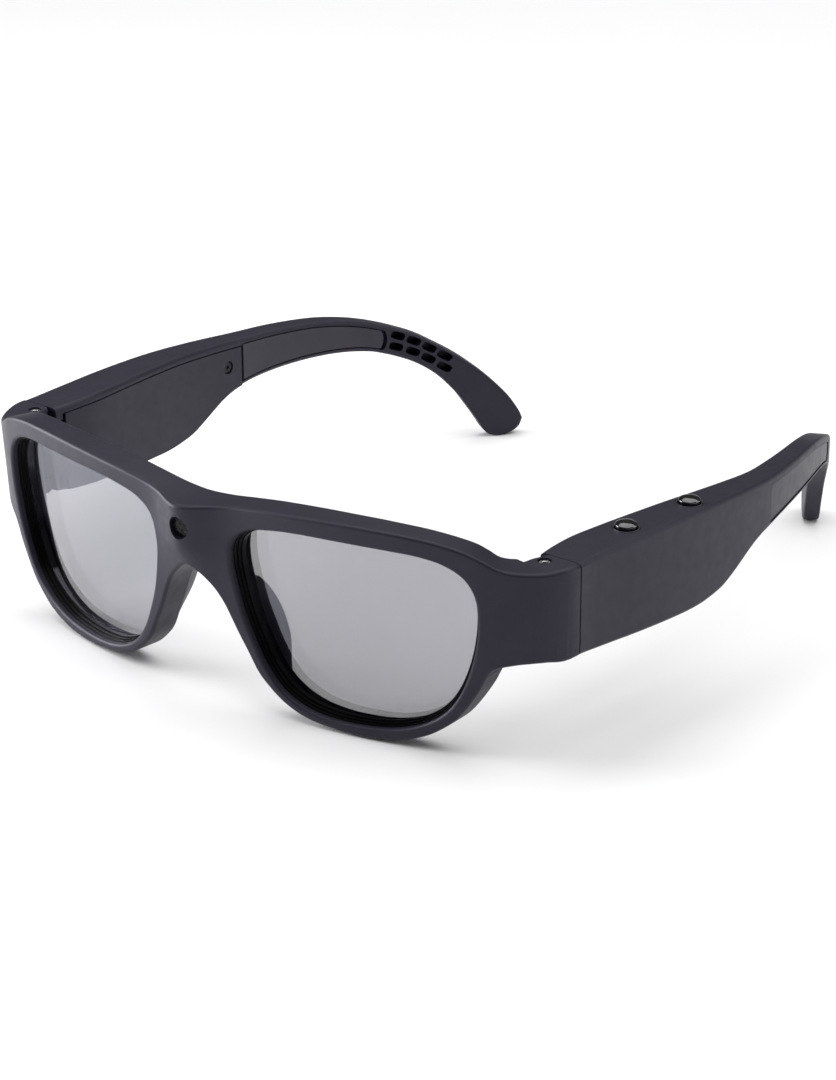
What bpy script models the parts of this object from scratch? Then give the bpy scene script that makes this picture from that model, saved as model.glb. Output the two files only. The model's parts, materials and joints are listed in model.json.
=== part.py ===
"""Camera smart glasses, built as an assembly.

Design frame, in millimetres: +X is the wearer's left, the front faces -Y, the temples run to +Y,
and the two hinge axes are vertical, at (+-HINGE_X, 0).  The finished assembly is tilted about X and
lifted, so that it rests on its rim bottoms and temple tips at z = 0, and is scaled to metres.
"""
import math

import bmesh
import bpy
import numpy as np
from mathutils import Matrix, Vector

MM = 0.001

# ---------------------------------------------------------------- driving dimensions (mm)
HINGE_X = 67.0            # hinge axis, distance from the mid-plane
TILT_DEG = 1.67           # lean of the hinge axes when the glasses rest on a table
SHIFT_Y = -58.26          # design origin to row origin, after the tilt
SHIFT_Z = 40.42

PANTO = 0.0736            # backward lean of the front, mm per mm of height
FACE_Y = -25.8            # front face on the mid-plane, before the camera bulge
BULGE = 3.7               # forward bulge over the camera
BULGE_WIDTH = 6.2
FRONT_EDGE_R = 0.75
SEAM_Y = 2.75             # rear face of the end-pieces
TEMPLE_Y = 3.05           # front face of the temples

LENS_T = 1.8
LENS_GAP = 0.25
GROOVE_DEPTH = 1.0
PAD_TOP_Z = -14.6
PAD_HEIGHT = 17.6

CAMERA_Z = -1.2
CAMERA_HOLE_R = 2.3

PIN_R = 0.8
PIN_HEAD_R = 1.25
LUG_R = 2.3
LUG_Z = (-16.0, -4.0)
SLOT_Z = (-16.3, -3.7)

TEMPLE_T = 9.2
TEMPLE_EDGE_R = 1.0
WALL = 1.6
COVER_T = 1.5
REAR_SEAM_Y = 71.0
PANEL_END_Y = 112.9
PANEL_T = 1.0

BUTTONS = (("front", 23.4), ("rear", 43.9))
BUTTON_R = 2.3
BUTTON_BORE_R = 2.4
BUTTON_FLANGE_R = 2.6
RING_R = 2.75

# plan curve of the front's outer face past the lenses, (x, y)
END_CURVE = [(62.0, -13.7), (65.4, -11.6), (68.6, -8.7), (71.2, -5.2), (72.8, -1.6), (73.4, 1.0),
             (73.5, 2.75)]

# upper outline of the front, (x, z), middle to end-piece
TOP_LINE = [(0, 4.0), (6.5, 4.35), (13, 5.1), (19, 5.7), (26, 6.1), (32, 6.3), (40, 6.35), (46, 6.15),
            (51, 5.8), (55, 5.2), (58, 4.5), (60.5, 3.6), (62.8, 2.4), (64.8, 1.1), (66.8, 0.35),
            (69, -0.1), (71.2, -0.5)]
END_TOP_Z = -0.65
END_BOTTOM_Z = -19.9
# lower outline of the front, (x, z), end-piece to middle
BOTTOM_LINE = [(71.2, -19.4), (68, -19.45), (66, -19.8), (64.4, -20.2), (63.0, -21.1), (61.9, -22.6),
               (61.0, -24.6), (59.6, -27.2), (57.4, -30.7), (55.1, -33.4), (51.3, -36.3),
               (48.3, -37.8), (45, -38.9), (40, -39.7), (35, -39.8), (30.5, -39.4), (26.5, -38.9),
               (23.9, -38.2), (21.4, -37.1), (19.0, -35.6), (16.6, -33.5), (14.2, -30.8),
               (12.05, -26.7), (10.1, -23.0), (8.8, -20.2), (7.3, -17.0), (5.5, -14.2), (3.7, -12.3),
               (2.0, -10.9), (0, -9.9)]
# lens opening, (x, z)
OPENING = [(60.4, -16.6), (61.1, -10.6), (60.7, -5.3), (58.7, -1.5), (55.1, 0.8), (50.3, 1.9),
           (44.6, 2.2), (38.6, 2.3), (32.4, 2.3), (26.2, 2.2), (20.2, 1.7), (14.6, 0.5),
           (10.8, -2.4), (9.8, -7.6), (10.6, -13.5), (11.8, -18.7), (13.6, -23.6), (16.1, -29.0),
           (19.8, -33.6), (25.0, -36.4), (31.0, -37.5), (37.3, -37.5), (42.9, -36.9),
           (47.4, -35.6), (51.0, -33.8), (54.2, -31.2), (56.8, -27.5), (58.9, -22.5)]
# thickness of the front, and depth of the lens behind the face, along the front, (u, mm)
FRONT_T = [(0, 7.0), (26, 7.0), (40, 6.5), (50, 6.2), (59, 6.3), (66, 7.2), (73, 8.3), (84.6, 8.3)]
LENS_DEPTH = [(0, 4.7), (10, 4.6), (30, 4.2), (62, 3.5), (84.6, 3.5)]

# temple: outer face in plan, (y, x), and its side profile, (y, z)
TEMPLE_X = [(-10, 73.5), (3, 73.5), (6, 73.52), (12, 73.9), (20, 74.6), (35, 75.5), (48, 75.75),
            (60, 75.4), (71, 74.5), (85, 72.2), (100, 68.3), (113, 63.6), (125, 57.4), (134, 51.3),
            (141, 46.5), (147, 42.4)]
TEMPLE_THICK = [(0, 9.2), (6, 10.0), (12, 10.6), (20, 10.6), (30, 10.0), (40, 9.2), (48, 8.4), (60, 7.2),
                (71, 6.1), (85, 5.3), (100, 4.8), (113, 4.6), (125, 4.3), (134, 4.0), (141, 3.8),
                (147, 3.7)]
TEMPLE_TOP = [(TEMPLE_Y, -0.7), (10, -0.8), (17.6, -1.05), (31.4, -1.6), (45.1, -2.4), (58.6, -3.6),
              (71.6, -4.85), (83.8, -5.55), (95.3, -6.65), (102.8, -8.05), (108.5, -9.6),
              (113.3, -11.3), (117.1, -12.9), (122.1, -15.35), (126.6, -18.4), (131.1, -21.85),
              (135.4, -25.9), (138.8, -29.6), (142.1, -33.8), (144.5, -38.0)]
TEMPLE_TIP = [(145.5, -40.6), (144.8, -42.6), (143.3, -43.9), (141.5, -44.5), (139.6, -44.5),
              (137.9, -43.7), (136.8, -42.3)]
TEMPLE_BOTTOM = [(135.6, -39.9), (133.2, -35.5), (130.9, -31.6), (127.6, -27.3), (124.6, -24.5),
                 (121.0, -22.0), (117.4, -20.15), (113.3, -18.45), (109.4, -17.2), (102.0, -15.9),
                 (94.3, -15.3), (88, -15.15), (82, -15.2), (76, -15.5), (71, -16.0), (66.5, -16.7),
                 (63, -17.7), (60, -18.9), (57, -20.2), (54, -21.4), (51, -22.4), (47, -23.0),
                 (42, -23.3), (35, -23.0), (22, -21.95), (9.4, -20.75), (TEMPLE_Y, -20.0)]
# blind slots in the inner side of the tip, centre (y, z)
TIP_SLOTS = [(117.0, -14.5), (121.0, -16.5), (124.8, -18.85), (128.4, -21.5),
             (116.5, -17.2), (120.8, -19.2), (124.6, -21.6), (128.3, -24.4)]
SLOT_LONG = 3.8
SLOT_WIDE = 1.95
SLOT_FLOOR = 1.2          # wall left between a slot and the outer face

for obj in list(bpy.data.objects):
    bpy.data.objects.remove(obj, do_unlink=True)

parts = bpy.data.collections.new("smart_glasses")
bpy.context.scene.collection.children.link(parts)
tools = bpy.data.collections.new("cutters")
bpy.context.scene.collection.children.link(tools)


# ---------------------------------------------------------------- curves
def smooth(knots):
    """A smooth function through the knots, constant outside them."""
    xs = np.array([k[0] for k in knots], dtype=float)
    ys = np.array([k[1] for k in knots], dtype=float)
    slope = np.gradient(ys, xs)

    def value(x):
        x = np.clip(np.asarray(x, dtype=float), xs[0], xs[-1])
        i = np.clip(np.searchsorted(xs, x) - 1, 0, len(xs) - 2)
        h = xs[i + 1] - xs[i]
        t = (x - xs[i]) / h
        a = 2 * t**3 - 3 * t**2 + 1
        b = t**3 - 2 * t**2 + t
        c = t**3 - t**2
        return a * ys[i] + b * h * slope[i] + (1 - a) * ys[i + 1] + c * h * slope[i + 1]

    return value


def closed_spline(points, per_segment):
    """Points along a closed smooth curve through the given points."""
    p = np.array(points, dtype=float)
    out = []
    n = len(p)
    for i in range(n):
        p0, p1, p2, p3 = p[i - 1], p[i], p[(i + 1) % n], p[(i + 2) % n]
        for k in range(per_segment):
            t = k / per_segment
            out.append(0.5 * (2 * p1 + (p2 - p0) * t + (2 * p0 - 5 * p1 + 4 * p2 - p3) * t * t
                              + (3 * p1 - p0 - 3 * p2 + p3) * t**3))
    return np.array(out)


def offset(points, distance):
    """Move a closed outline outwards along its normals."""
    p = np.array(points, dtype=float)
    tangent = np.roll(p, -1, 0) - np.roll(p, 1, 0)
    normal = np.c_[tangent[:, 1], -tangent[:, 0]]
    normal /= np.linalg.norm(normal, axis=1)[:, None]
    area = np.sum(p[:, 0] * np.roll(p[:, 1], -1) - np.roll(p[:, 0], -1) * p[:, 1])
    return p + normal * distance * (1 if area > 0 else -1)


def smoothstep(t):
    t = np.clip(t, 0.0, 1.0)
    return t * t * (3 - 2 * t)


# ---------------------------------------------------------------- the front's curved space
def face_y(x):
    return FACE_Y + 2.91e-3 * x**2 + 5.68e-8 * x**4


PLAN = [(x, face_y(x)) for x in (0, 8, 16, 24, 32, 40, 48, 54, 58)] + END_CURVE
plan_x = smooth([(i, p[0]) for i, p in enumerate(PLAN)])
plan_y = smooth([(i, p[1]) for i, p in enumerate(PLAN)])
STEP = np.linspace(0, len(PLAN) - 1, 4001)
PX = plan_x(STEP)
PY = plan_y(STEP)
PU = np.concatenate([[0.0], np.cumsum(np.hypot(np.diff(PX), np.diff(PY)))])
U_END = float(PU[-1])
PTX = np.gradient(PX, PU) * (1 - smoothstep((PU - PU[-1] + 3.5) / 3.0))
PTY = np.gradient(PY, PU)
front_t = smooth(FRONT_T)
lens_depth = smooth(LENS_DEPTH)


def arc(x):
    """Distance along the face of the point at x."""
    return float(np.interp(x, PX, PU))


def bulge(u, z, d):
    across = np.exp(-(u / BULGE_WIDTH) ** 2)
    down = 1.0 - 0.55 * smoothstep((-4.0 - z) / 8.0)
    behind = np.clip(1.0 - d / 7.0, 0.0, 1.0)
    return BULGE * across * down * behind


def front_map(p):
    """(u along the face, depth behind it, z) to the design frame."""
    p = np.asarray(p, dtype=float)
    side = np.where(p[:, 0] < 0, -1.0, 1.0)
    u = np.abs(p[:, 0])
    d = p[:, 1]
    z = p[:, 2]
    nx = -np.interp(u, PU, PTY)
    ny = np.interp(u, PU, PTX)
    fade = 1.0 - smoothstep((u - 68.0) / 15.0)
    x = np.interp(u, PU, PX) + nx * d
    y = np.interp(u, PU, PY) + ny * d - PANTO * fade * z - bulge(u, z, d)
    return np.c_[side * x, y, z]


# ---------------------------------------------------------------- the temple's curved space
temple_x = smooth(TEMPLE_X)
temple_t = smooth(TEMPLE_THICK)


def temple_map(p):
    """(y, depth inwards from the outer face, z) of the +X temple to the design frame."""
    p = np.asarray(p, dtype=float)
    y = p[:, 0]
    w = p[:, 1]
    slope = (temple_x(y + 0.05) - temple_x(y - 0.05)) / 0.1
    size = np.sqrt(1 + slope**2)
    return np.c_[temple_x(y) - w / size, y + w * slope / size, p[:, 2]]


def temple_scaled(p):
    """The same, with the depth stated for the thick front end of the temple."""
    q = np.array(p, dtype=float)
    q[:, 1] *= temple_t(q[:, 0]) / TEMPLE_T
    return temple_map(q)


# ---------------------------------------------------------------- mesh helpers
def add_object(name, mesh, collection):
    obj = bpy.data.objects.new(name, mesh)
    collection.objects.link(obj)
    if collection == tools:
        obj.hide_render = True
        obj.display_type = "WIRE"
    return obj


def flat_solid(name, outlines, thickness, edge_r=0.0, edge_steps=1, merge=True):
    """Filled outlines in (a, b), extruded over depth 0..thickness; vertices are (a, depth, b)."""
    curve = bpy.data.curves.new(name, "CURVE")
    curve.dimensions = "2D"
    curve.fill_mode = "BOTH"
    curve.extrude = thickness / 2 - edge_r
    curve.bevel_depth = edge_r
    curve.bevel_resolution = edge_steps
    curve.offset = -edge_r
    for line in outlines:
        spline = curve.splines.new("POLY")
        spline.points.add(len(line) - 1)
        for point, (a, b) in zip(spline.points, line):
            point.co = (a, b, 0, 1)
        spline.use_cyclic_u = True
    obj = add_object(name, curve, tools)
    bpy.context.view_layer.update()
    graph = bpy.context.evaluated_depsgraph_get()
    mesh = bpy.data.meshes.new_from_object(obj.evaluated_get(graph))
    bpy.data.objects.remove(obj)
    bm = bmesh.new()
    bm.from_mesh(mesh)
    bmesh.ops.remove_doubles(bm, verts=bm.verts, dist=0.0001)
    if merge:
        bmesh.ops.dissolve_limit(bm, angle_limit=0.001, verts=bm.verts, edges=bm.edges)
    for v in bm.verts:
        a, b, c = v.co
        v.co = (a, c + thickness / 2, b)
    bmesh.ops.recalc_face_normals(bm, faces=bm.faces)
    bm.to_mesh(mesh)
    bm.free()
    return mesh


def slice_mesh(mesh, cuts, axis=0):
    """Cut all faces at the given coordinates, so that the mesh can be bent."""
    bm = bmesh.new()
    bm.from_mesh(mesh)
    normal = Vector((0, 0, 0))
    normal[axis] = 1
    for c in cuts:
        geom = list(bm.verts) + list(bm.edges) + list(bm.faces)
        bmesh.ops.bisect_plane(bm, geom=geom, plane_co=normal * c, plane_no=normal, dist=0.0001)
    bm.to_mesh(mesh)
    bm.free()
    return mesh


def apply_map(mesh, mapping):
    co = np.empty(len(mesh.vertices) * 3)
    mesh.vertices.foreach_get("co", co)
    co = mapping(co.reshape(-1, 3))
    mesh.vertices.foreach_set("co", co.ravel())
    mesh.update()
    bm = bmesh.new()
    bm.from_mesh(mesh)
    bmesh.ops.recalc_face_normals(bm, faces=bm.faces)
    bmesh.ops.triangulate(bm, faces=[f for f in bm.faces if len(f.verts) > 4])
    bm.to_mesh(mesh)
    bm.free()
    return mesh


def box(name, low, high, collection=tools, bevel=0.0):
    bm = bmesh.new()
    bmesh.ops.create_cube(bm, size=1.0)
    for v in bm.verts:
        v.co = [low[i] if v.co[i] < 0 else high[i] for i in range(3)]
    if bevel:
        bmesh.ops.bevel(bm, geom=list(bm.edges), offset=bevel, segments=2, affect="EDGES", profile=0.5)
    mesh = bpy.data.meshes.new(name)
    bm.to_mesh(mesh)
    bm.free()
    return add_object(name, mesh, collection)


def turned(name, profile, centre, axis="Z", steps=24, collection=tools):
    """Solid of revolution; profile is (radius, height) from top to bottom on the outer side."""
    bm = bmesh.new()
    rings = []
    for r, h in profile:
        if r < 1e-6:
            rings.append([bm.verts.new((0, 0, h))])
        else:
            rings.append([bm.verts.new((r * math.cos(2 * math.pi * k / steps),
                                        r * math.sin(2 * math.pi * k / steps), h))
                          for k in range(steps)])
    for a, b in zip(rings[:-1], rings[1:]):
        for k in range(steps):
            n = (k + 1) % steps
            if len(a) == 1:
                bm.faces.new((a[0], b[k], b[n]))
            elif len(b) == 1:
                bm.faces.new((a[k], b[0], a[n]))
            else:
                bm.faces.new((a[k], b[k], b[n], a[n]))
    if len(rings[0]) > 1 and len(rings[-1]) > 1:
        if abs(profile[0][0] - profile[-1][0]) < 1e-9 and abs(profile[0][1] - profile[-1][1]) < 1e-9:
            bmesh.ops.remove_doubles(bm, verts=bm.verts, dist=0.0001)
        else:
            bm.faces.new(rings[0])
            bm.faces.new(rings[-1][::-1])
    bmesh.ops.recalc_face_normals(bm, faces=bm.faces)
    turn = {"Z": Matrix.Identity(4), "Y": Matrix.Rotation(math.radians(90), 4, "X"),
            "X": Matrix.Rotation(math.radians(90), 4, "Y")}[axis]
    bm.transform(Matrix.Translation(centre) @ turn)
    mesh = bpy.data.meshes.new(name)
    bm.to_mesh(mesh)
    bm.free()
    return add_object(name, mesh, collection)


def boolean(target, cutter, operation="DIFFERENCE"):
    mod = target.modifiers.new("cut", "BOOLEAN")
    mod.operation = operation
    mod.solver = "EXACT"
    mod.object = cutter
    bpy.context.view_layer.update()
    graph = bpy.context.evaluated_depsgraph_get()
    mesh = bpy.data.meshes.new_from_object(target.evaluated_get(graph))
    target.modifiers.clear()
    target.data = mesh
    bm = bmesh.new()
    bm.from_mesh(mesh)
    bmesh.ops.remove_doubles(bm, verts=bm.verts, dist=0.0001)
    bmesh.ops.dissolve_degenerate(bm, edges=bm.edges, dist=0.0001)
    bm.to_mesh(mesh)
    bm.free()
    return target


def cut(target, *cutters):
    for cutter in cutters:
        boolean(target, cutter)


def mirrored(source, name):
    mesh = source.data.copy()
    mesh.name = name
    mesh.transform(Matrix.Diagonal((-1, 1, 1, 1)))
    mesh.flip_normals()
    return add_object(name, mesh, source.users_collection[0])


MATERIALS = {}


def material(name, colour, roughness, metallic=0.0, alpha=1.0):
    if name not in MATERIALS:
        mat = bpy.data.materials.new(name)
        mat.use_nodes = True
        shader = mat.node_tree.nodes["Principled BSDF"]
        shader.inputs["Base Color"].default_value = (*colour, 1)
        shader.inputs["Roughness"].default_value = roughness
        shader.inputs["Metallic"].default_value = metallic
        shader.inputs["Alpha"].default_value = alpha
        MATERIALS[name] = mat
    return MATERIALS[name]


PLASTIC = material("matt_black_plastic", (0.045, 0.043, 0.055), 0.5)
PANEL = material("satin_black_plastic", (0.06, 0.058, 0.068), 0.45)
TINT = material("mirror_grey_lens", (0.30, 0.30, 0.33), 0.05, 0.0, 0.6)
CLEAR = material("clear_window", (0.2, 0.2, 0.22), 0.03, 0.0, 0.5)
CHROME = material("dark_chrome", (0.35, 0.35, 0.37), 0.12, 1.0)
STEEL = material("dark_steel", (0.12, 0.12, 0.13), 0.3, 1.0)
BOARD = material("circuit_board", (0.02, 0.09, 0.05), 0.45)
CAN = material("shield_can", (0.55, 0.55, 0.56), 0.3, 1.0)
CHIP = material("moulded_chip", (0.02, 0.02, 0.022), 0.4)
FLEX = material("flex_amber", (0.42, 0.2, 0.04), 0.4)
CELL = material("battery_wrap", (0.18, 0.19, 0.22), 0.35)
GOLD = material("gold_contact", (0.75, 0.55, 0.2), 0.25, 1.0)

KEEP = []


def merge_flats(obj):
    """Join faces that lie in one plane, and leave triangles."""
    bm = bmesh.new()
    bm.from_mesh(obj.data)
    bmesh.ops.dissolve_limit(bm, angle_limit=math.radians(0.7), verts=bm.verts, edges=bm.edges)
    bmesh.ops.triangulate(bm, faces=bm.faces)
    bm.to_mesh(obj.data)
    bm.free()


def keep(obj, mat, pivot=(0.0, 0.0, 0.0)):
    """A finished sub-part; pivot is the design-frame point its origin goes to."""
    obj.data.materials.clear()
    obj.data.materials.append(mat)
    KEEP.append((obj, Vector(pivot)))
    return obj


PIVOT_R = (HINGE_X, 0, 0)
PIVOT_L = (-HINGE_X, 0, 0)

# ---------------------------------------------------------------- front frame
half = [(arc(x), z) for x, z in TOP_LINE] + [(U_END - 3.0, END_TOP_Z + 0.1), (U_END, END_TOP_Z)]
half += [(U_END, END_BOTTOM_Z), (U_END - 4.0, END_BOTTOM_Z)] + [(arc(x), z) for x, z in BOTTOM_LINE]
outline = half + [(-u, z) for u, z in reversed(half[1:-1])]
opening = np.array([(arc(x), z) for x, z in closed_spline(OPENING, 1)])
left_opening = np.c_[-opening[:, 0], opening[:, 1]]

REF_T = 7.0
CUTS = [0.0] + [s * u for s in (-1, 1) for u in (2.5, 5, 8, 12, 18, 24, 30, 36, 42, 48, 54, 60, 64, 68,
                                                 71, 74, 77, 80, 82.5)]


def gap_to(line, p):
    """Distance from each point to a closed outline."""
    a = line[None, :, :]
    run = np.roll(line, -1, 0)[None, :, :] - a
    t = np.clip(np.sum((p[:, None, :] - a) * run, axis=2) / np.sum(run**2, axis=2), 0, 1)
    return np.linalg.norm(a + run * t[:, :, None] - p[:, None, :], axis=2).min(axis=1)


def front_scaled(p):
    q = np.array(p, dtype=float)
    u = np.abs(q[:, 0])
    q[:, 1] *= front_t(u) / REF_T
    out = front_map(q)
    # the outer walls of the rims run straight back, not square to the curved face
    k = smoothstep((-19.5 - q[:, 2]) / 3.0) * smoothstep((u - 40.0) / 10.0)
    k *= smoothstep((gap_to(opening, np.c_[u, q[:, 2]]) - 0.9) / 0.8)
    out[:, 0] += np.sign(q[:, 0]) * k * q[:, 1] * np.interp(u, PU, PTY)
    return out


mesh = flat_solid("front", [outline, opening, left_opening], REF_T, FRONT_EDGE_R, 0, merge=False)
slice_mesh(mesh, sorted(CUTS))
apply_map(mesh, front_scaled)
bm = bmesh.new()
bm.from_mesh(mesh)
bmesh.ops.triangulate(bm, faces=bm.faces)
bm.to_mesh(mesh)
bm.free()
front = add_object("front_frame", mesh, parts)


def front_cutter(name, line, d0, d1, cuts):
    """A cutter with the outline line, (u, z), between two depths behind the face."""
    mesh = flat_solid(name, [line], 1.0)
    slice_mesh(mesh, cuts)

    def mapping(p):
        q = np.array(p, dtype=float)
        u = np.abs(q[:, 0])
        q[:, 1] = d0(u) + q[:, 1] * (d1(u) - d0(u))
        return front_map(q)

    apply_map(mesh, mapping)
    return add_object(name, mesh, tools)


LENS_CUTS = list(np.arange(12.0, 64.0, 4.0))
groove = front_cutter("lens_groove", offset(opening, GROOVE_DEPTH),
                      lambda u: lens_depth(u) - 0.2, lambda u: lens_depth(u) + LENS_T + 0.2, LENS_CUTS)
mirrored(groove, "lens_groove_left")

lens = front_cutter("lens_right", offset(opening, GROOVE_DEPTH - LENS_GAP),
                    lambda u: lens_depth(u), lambda u: lens_depth(u) + LENS_T, LENS_CUTS)

# nose pads, moulded on: one loft each, from inside the rim back to the pad's rear edge
bottom_nose = smooth(sorted([(z, x) for x, z in BOTTOM_LINE if x < 24 and z < -9.9]))


def nose_pad(name):
    bm = bmesh.new()
    rings = []
    for i in range(11):
        t = i / 10
        z = PAD_TOP_Z - PAD_HEIGHT * t
        swell = math.sin(math.pi * min(max(0.06 + 0.9 * t, 0), 1)) ** 0.7
        x0 = arc(float(bottom_nose(z)))
        rear = 6.2 + 3.6 * swell + 3.0 * (1 - t)
        flare = 1.6 * swell
        section = [(x0 + 0.5, 2.5), (x0 + 0.35, 5.0), (x0 + 0.5 + 0.5 * flare, 0.5 * rear + 2.5),
                   (x0 + 0.9 + flare, rear - 0.5), (x0 + 1.5 + flare, rear),
                   (x0 + 2.2 + flare, rear - 0.3), (x0 + 2.3 + 0.6 * flare, 0.5 * rear + 2.5), (x0 + 2.1, 5.0),
                   (x0 + 2.0, 2.5)]
        rings.append([bm.verts.new((a, d, z)) for a, d in section])
    n = len(rings[0])
    for a, b in zip(rings[:-1], rings[1:]):
        for k in range(n):
            m = (k + 1) % n
            bm.faces.new((a[k], a[m], b[m], b[k]))
    bm.faces.new(rings[0])
    bm.faces.new(rings[-1][::-1])
    bmesh.ops.recalc_face_normals(bm, faces=bm.faces)
    mesh = bpy.data.meshes.new(name)
    bm.to_mesh(mesh)
    bm.free()
    apply_map(mesh, front_map)
    return add_object(name, mesh, tools)


pad = nose_pad("nose_pad")
pad_left = mirrored(pad, "nose_pad_left")
boolean(front, pad, "UNION")
boolean(front, pad_left, "UNION")
cut(front, groove, bpy.data.objects["lens_groove_left"])

# camera bore, cavity and cover seat in the bridge
bore = turned("camera_bore", [(CAMERA_HOLE_R, 10), (CAMERA_HOLE_R, -5)], (0, -30, CAMERA_Z), "Y", 32)
cavity = box("camera_cavity", (-6.5, -25.6, -6.4), (6.5, -12, 2.5))
seat = box("cover_seat", (-7.6, -20.4, -7.6), (7.6, -12, 2.3))
cut(front, bore, cavity, seat)

top_z = smooth([(arc(x), z) for x, z in TOP_LINE])


def harness_z(u):
    u = abs(u)
    return float(top_z(u)) - 1.0 - 1.0 * float(smoothstep(u / 12))


HARNESS_U = list(np.linspace(-70, 70, 25))


def harness_strip(stations, half_height):
    """A thin outline, (u, z), along the harness's path."""
    above = [(u, harness_z(u) + half_height) for u in stations]
    below = [(u, harness_z(u) - half_height) for u in stations[::-1]]
    return above + below


channel_line = harness_strip(HARNESS_U, 0.45)
channel = front_cutter("harness_channel", channel_line, lambda u: 4.2 + 0 * u, lambda u: 11 + 0 * u,
                       HARNESS_U[1:-1])
cut(front, channel)
FLEX_U = HARNESS_U[1:-1]
flex_line = harness_strip(FLEX_U, 0.15)
flex = front_cutter("front_flex", flex_line, lambda u: 4.5 + 0 * u, lambda u: 6.1 + 0 * u, FLEX_U[1:-1])

# hinge forks: a slot for the lug, a round inner corner, and the pin's bores
SLOT_R = 2.65
CORNER_R = 2.6


def upright_prism(name, line, z0, z1, collection=tools):
    """An outline in plan, (x, y), extruded from z0 to z1."""
    mesh = flat_solid(name, [line], z1 - z0)
    mesh.transform(Matrix(((1, 0, 0, 0), (0, 0, 1, 0), (0, 1, 0, z0), (0, 0, 0, 1))))
    bm = bmesh.new()
    bm.from_mesh(mesh)
    bmesh.ops.recalc_face_normals(bm, faces=bm.faces)
    bm.to_mesh(mesh)
    bm.free()
    return add_object(name, mesh, collection)


slot_line = [(60, 4), (60, -SLOT_R)]
slot_line += [(HINGE_X + SLOT_R * math.sin(math.pi * k / 16), -SLOT_R * math.cos(math.pi * k / 16))
              for k in range(9)]
slot_line += [(HINGE_X + SLOT_R, 4)]
hinge_tools = [upright_prism("hinge_slot", slot_line, *SLOT_Z)]
corner = box("corner_cut", (60, 0, -25), (HINGE_X, 4, 3))
boolean(corner, turned("corner_keep", [(CORNER_R, 5), (CORNER_R, -27)], (HINGE_X, 0, 0), steps=48))
hinge_tools.append(corner)
hinge_tools.append(box("fold_relief", (58.0, -3.6, -25.0), (64.7, 4.5, 3.0)))
hinge_tools.append(turned("pin_bore", [(PIN_R + 0.03, 2), (PIN_R + 0.03, -21)], (HINGE_X, 0, 0)))
hinge_tools.append(turned("head_bore", [(PIN_HEAD_R + 0.15, 3), (PIN_HEAD_R + 0.15, -1.8)],
                          (HINGE_X, 0, 0)))
for tool in hinge_tools:
    cut(front, tool, mirrored(tool, tool.name + "_left"))
merge_flats(front)
keep(front, PLASTIC)



def to_parts(obj):
    tools.objects.unlink(obj)
    parts.objects.link(obj)
    obj.hide_render = False
    obj.display_type = "TEXTURED"


to_parts(lens)
keep(lens, TINT)
keep(mirrored(lens, "lens_left"), TINT)
to_parts(flex)
keep(flex, FLEX)

# bridge cover, camera window, barrel and sensor board
keep(box("bridge_rear_cover", (-7.3, -20.1, -7.3), (7.3, -18.95, 2.0), parts, 0.25), PANEL)
keep(turned("camera_window", [(2.2, 0.25), (2.2, -0.25)], (0, -27.95, CAMERA_Z), "Y", 24, parts), CLEAR)
keep(turned("camera_barrel", [(0.0, 1.4), (0.6, 1.3), (0.9, 1.1), (1.4, 2.0), (2.0, 2.0), (2.0, -0.2),
                              (2.9, -0.2), (2.9, -3.0), (0.0, -3.0)],
            (0, -25.4, CAMERA_Z), "Y", 24, parts), CHIP)
keep(box("camera_sensor_board", (-4.0, -22.2, -5.2), (4.0, -21.5, 1.9), parts), BOARD)

# hinge pins: socket-head screws, head at the top
pin = turned("hinge_pin_right", [(0.0, -1.5), (0.55, -1.5), (0.55, -1.0), (PIN_HEAD_R, -1.0),
                                 (PIN_HEAD_R, -1.75), (PIN_R, -1.75), (PIN_R, -18.3), (0.0, -18.3)],
             (HINGE_X, 0, 0), "Z", 24, parts)
keep(pin, STEEL)
keep(mirrored(pin, "hinge_pin_left"), STEEL)

# ---------------------------------------------------------------- temples
temple_line = TEMPLE_TOP + TEMPLE_TIP + TEMPLE_BOTTOM
T_CUTS = list(np.arange(10, 66, 9.0)) + list(np.arange(71, 142, 6.0))
mesh = flat_solid("temple", [temple_line], TEMPLE_T, TEMPLE_EDGE_R, 0)
slice_mesh(mesh, T_CUTS)
apply_map(mesh, temple_scaled)
shell = add_object("temple_shell_right", mesh, parts)
top_line = smooth(TEMPLE_TOP)
bottom_line = smooth(sorted(TEMPLE_BOTTOM))


def strip(y0, y1, top_inset, bottom_inset, step=5.0, round_end=0.0):
    """Outline between the temple's top and bottom edges, from y0 to y1."""
    ys = list(np.linspace(y0, y1, max(2, int((y1 - y0) / step) + 1)))
    upper = [(y, float(top_line(y)) - top_inset) for y in ys]
    lower = [(y, float(bottom_line(y)) + bottom_inset) for y in ys]
    end = []
    if round_end:
        a = np.array(upper[-1])
        b = np.array(lower[-1])
        middle = (a + b) / 2
        for k in range(1, 8):
            angle = math.pi * k / 8
            along = (a - middle) * math.cos(angle)
            end.append((middle[0] + along[0] + round_end * math.sin(angle), middle[1] + along[1]))
    return upper + end + lower[::-1]


def temple_piece(name, line, w0, w1, collection=tools, cuts=None, edge_r=0.0):
    mesh = flat_solid(name, [line], 1.0)
    ys = [p[0] for p in line]
    slice_mesh(mesh, [c for c in (cuts or T_CUTS) if min(ys) + 0.3 < c < max(ys) - 0.3])

    def mapping(p):
        q = np.array(p, dtype=float)
        y = q[:, 0]
        a = w0(y) if callable(w0) else w0
        b = w1(y) if callable(w1) else w1
        q[:, 1] = a + q[:, 1] * (b - a)
        return temple_map(q)

    apply_map(mesh, mapping)
    return add_object(name, mesh, collection)


def t_minus(depth):
    return lambda y: temple_t(y) - depth


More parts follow.
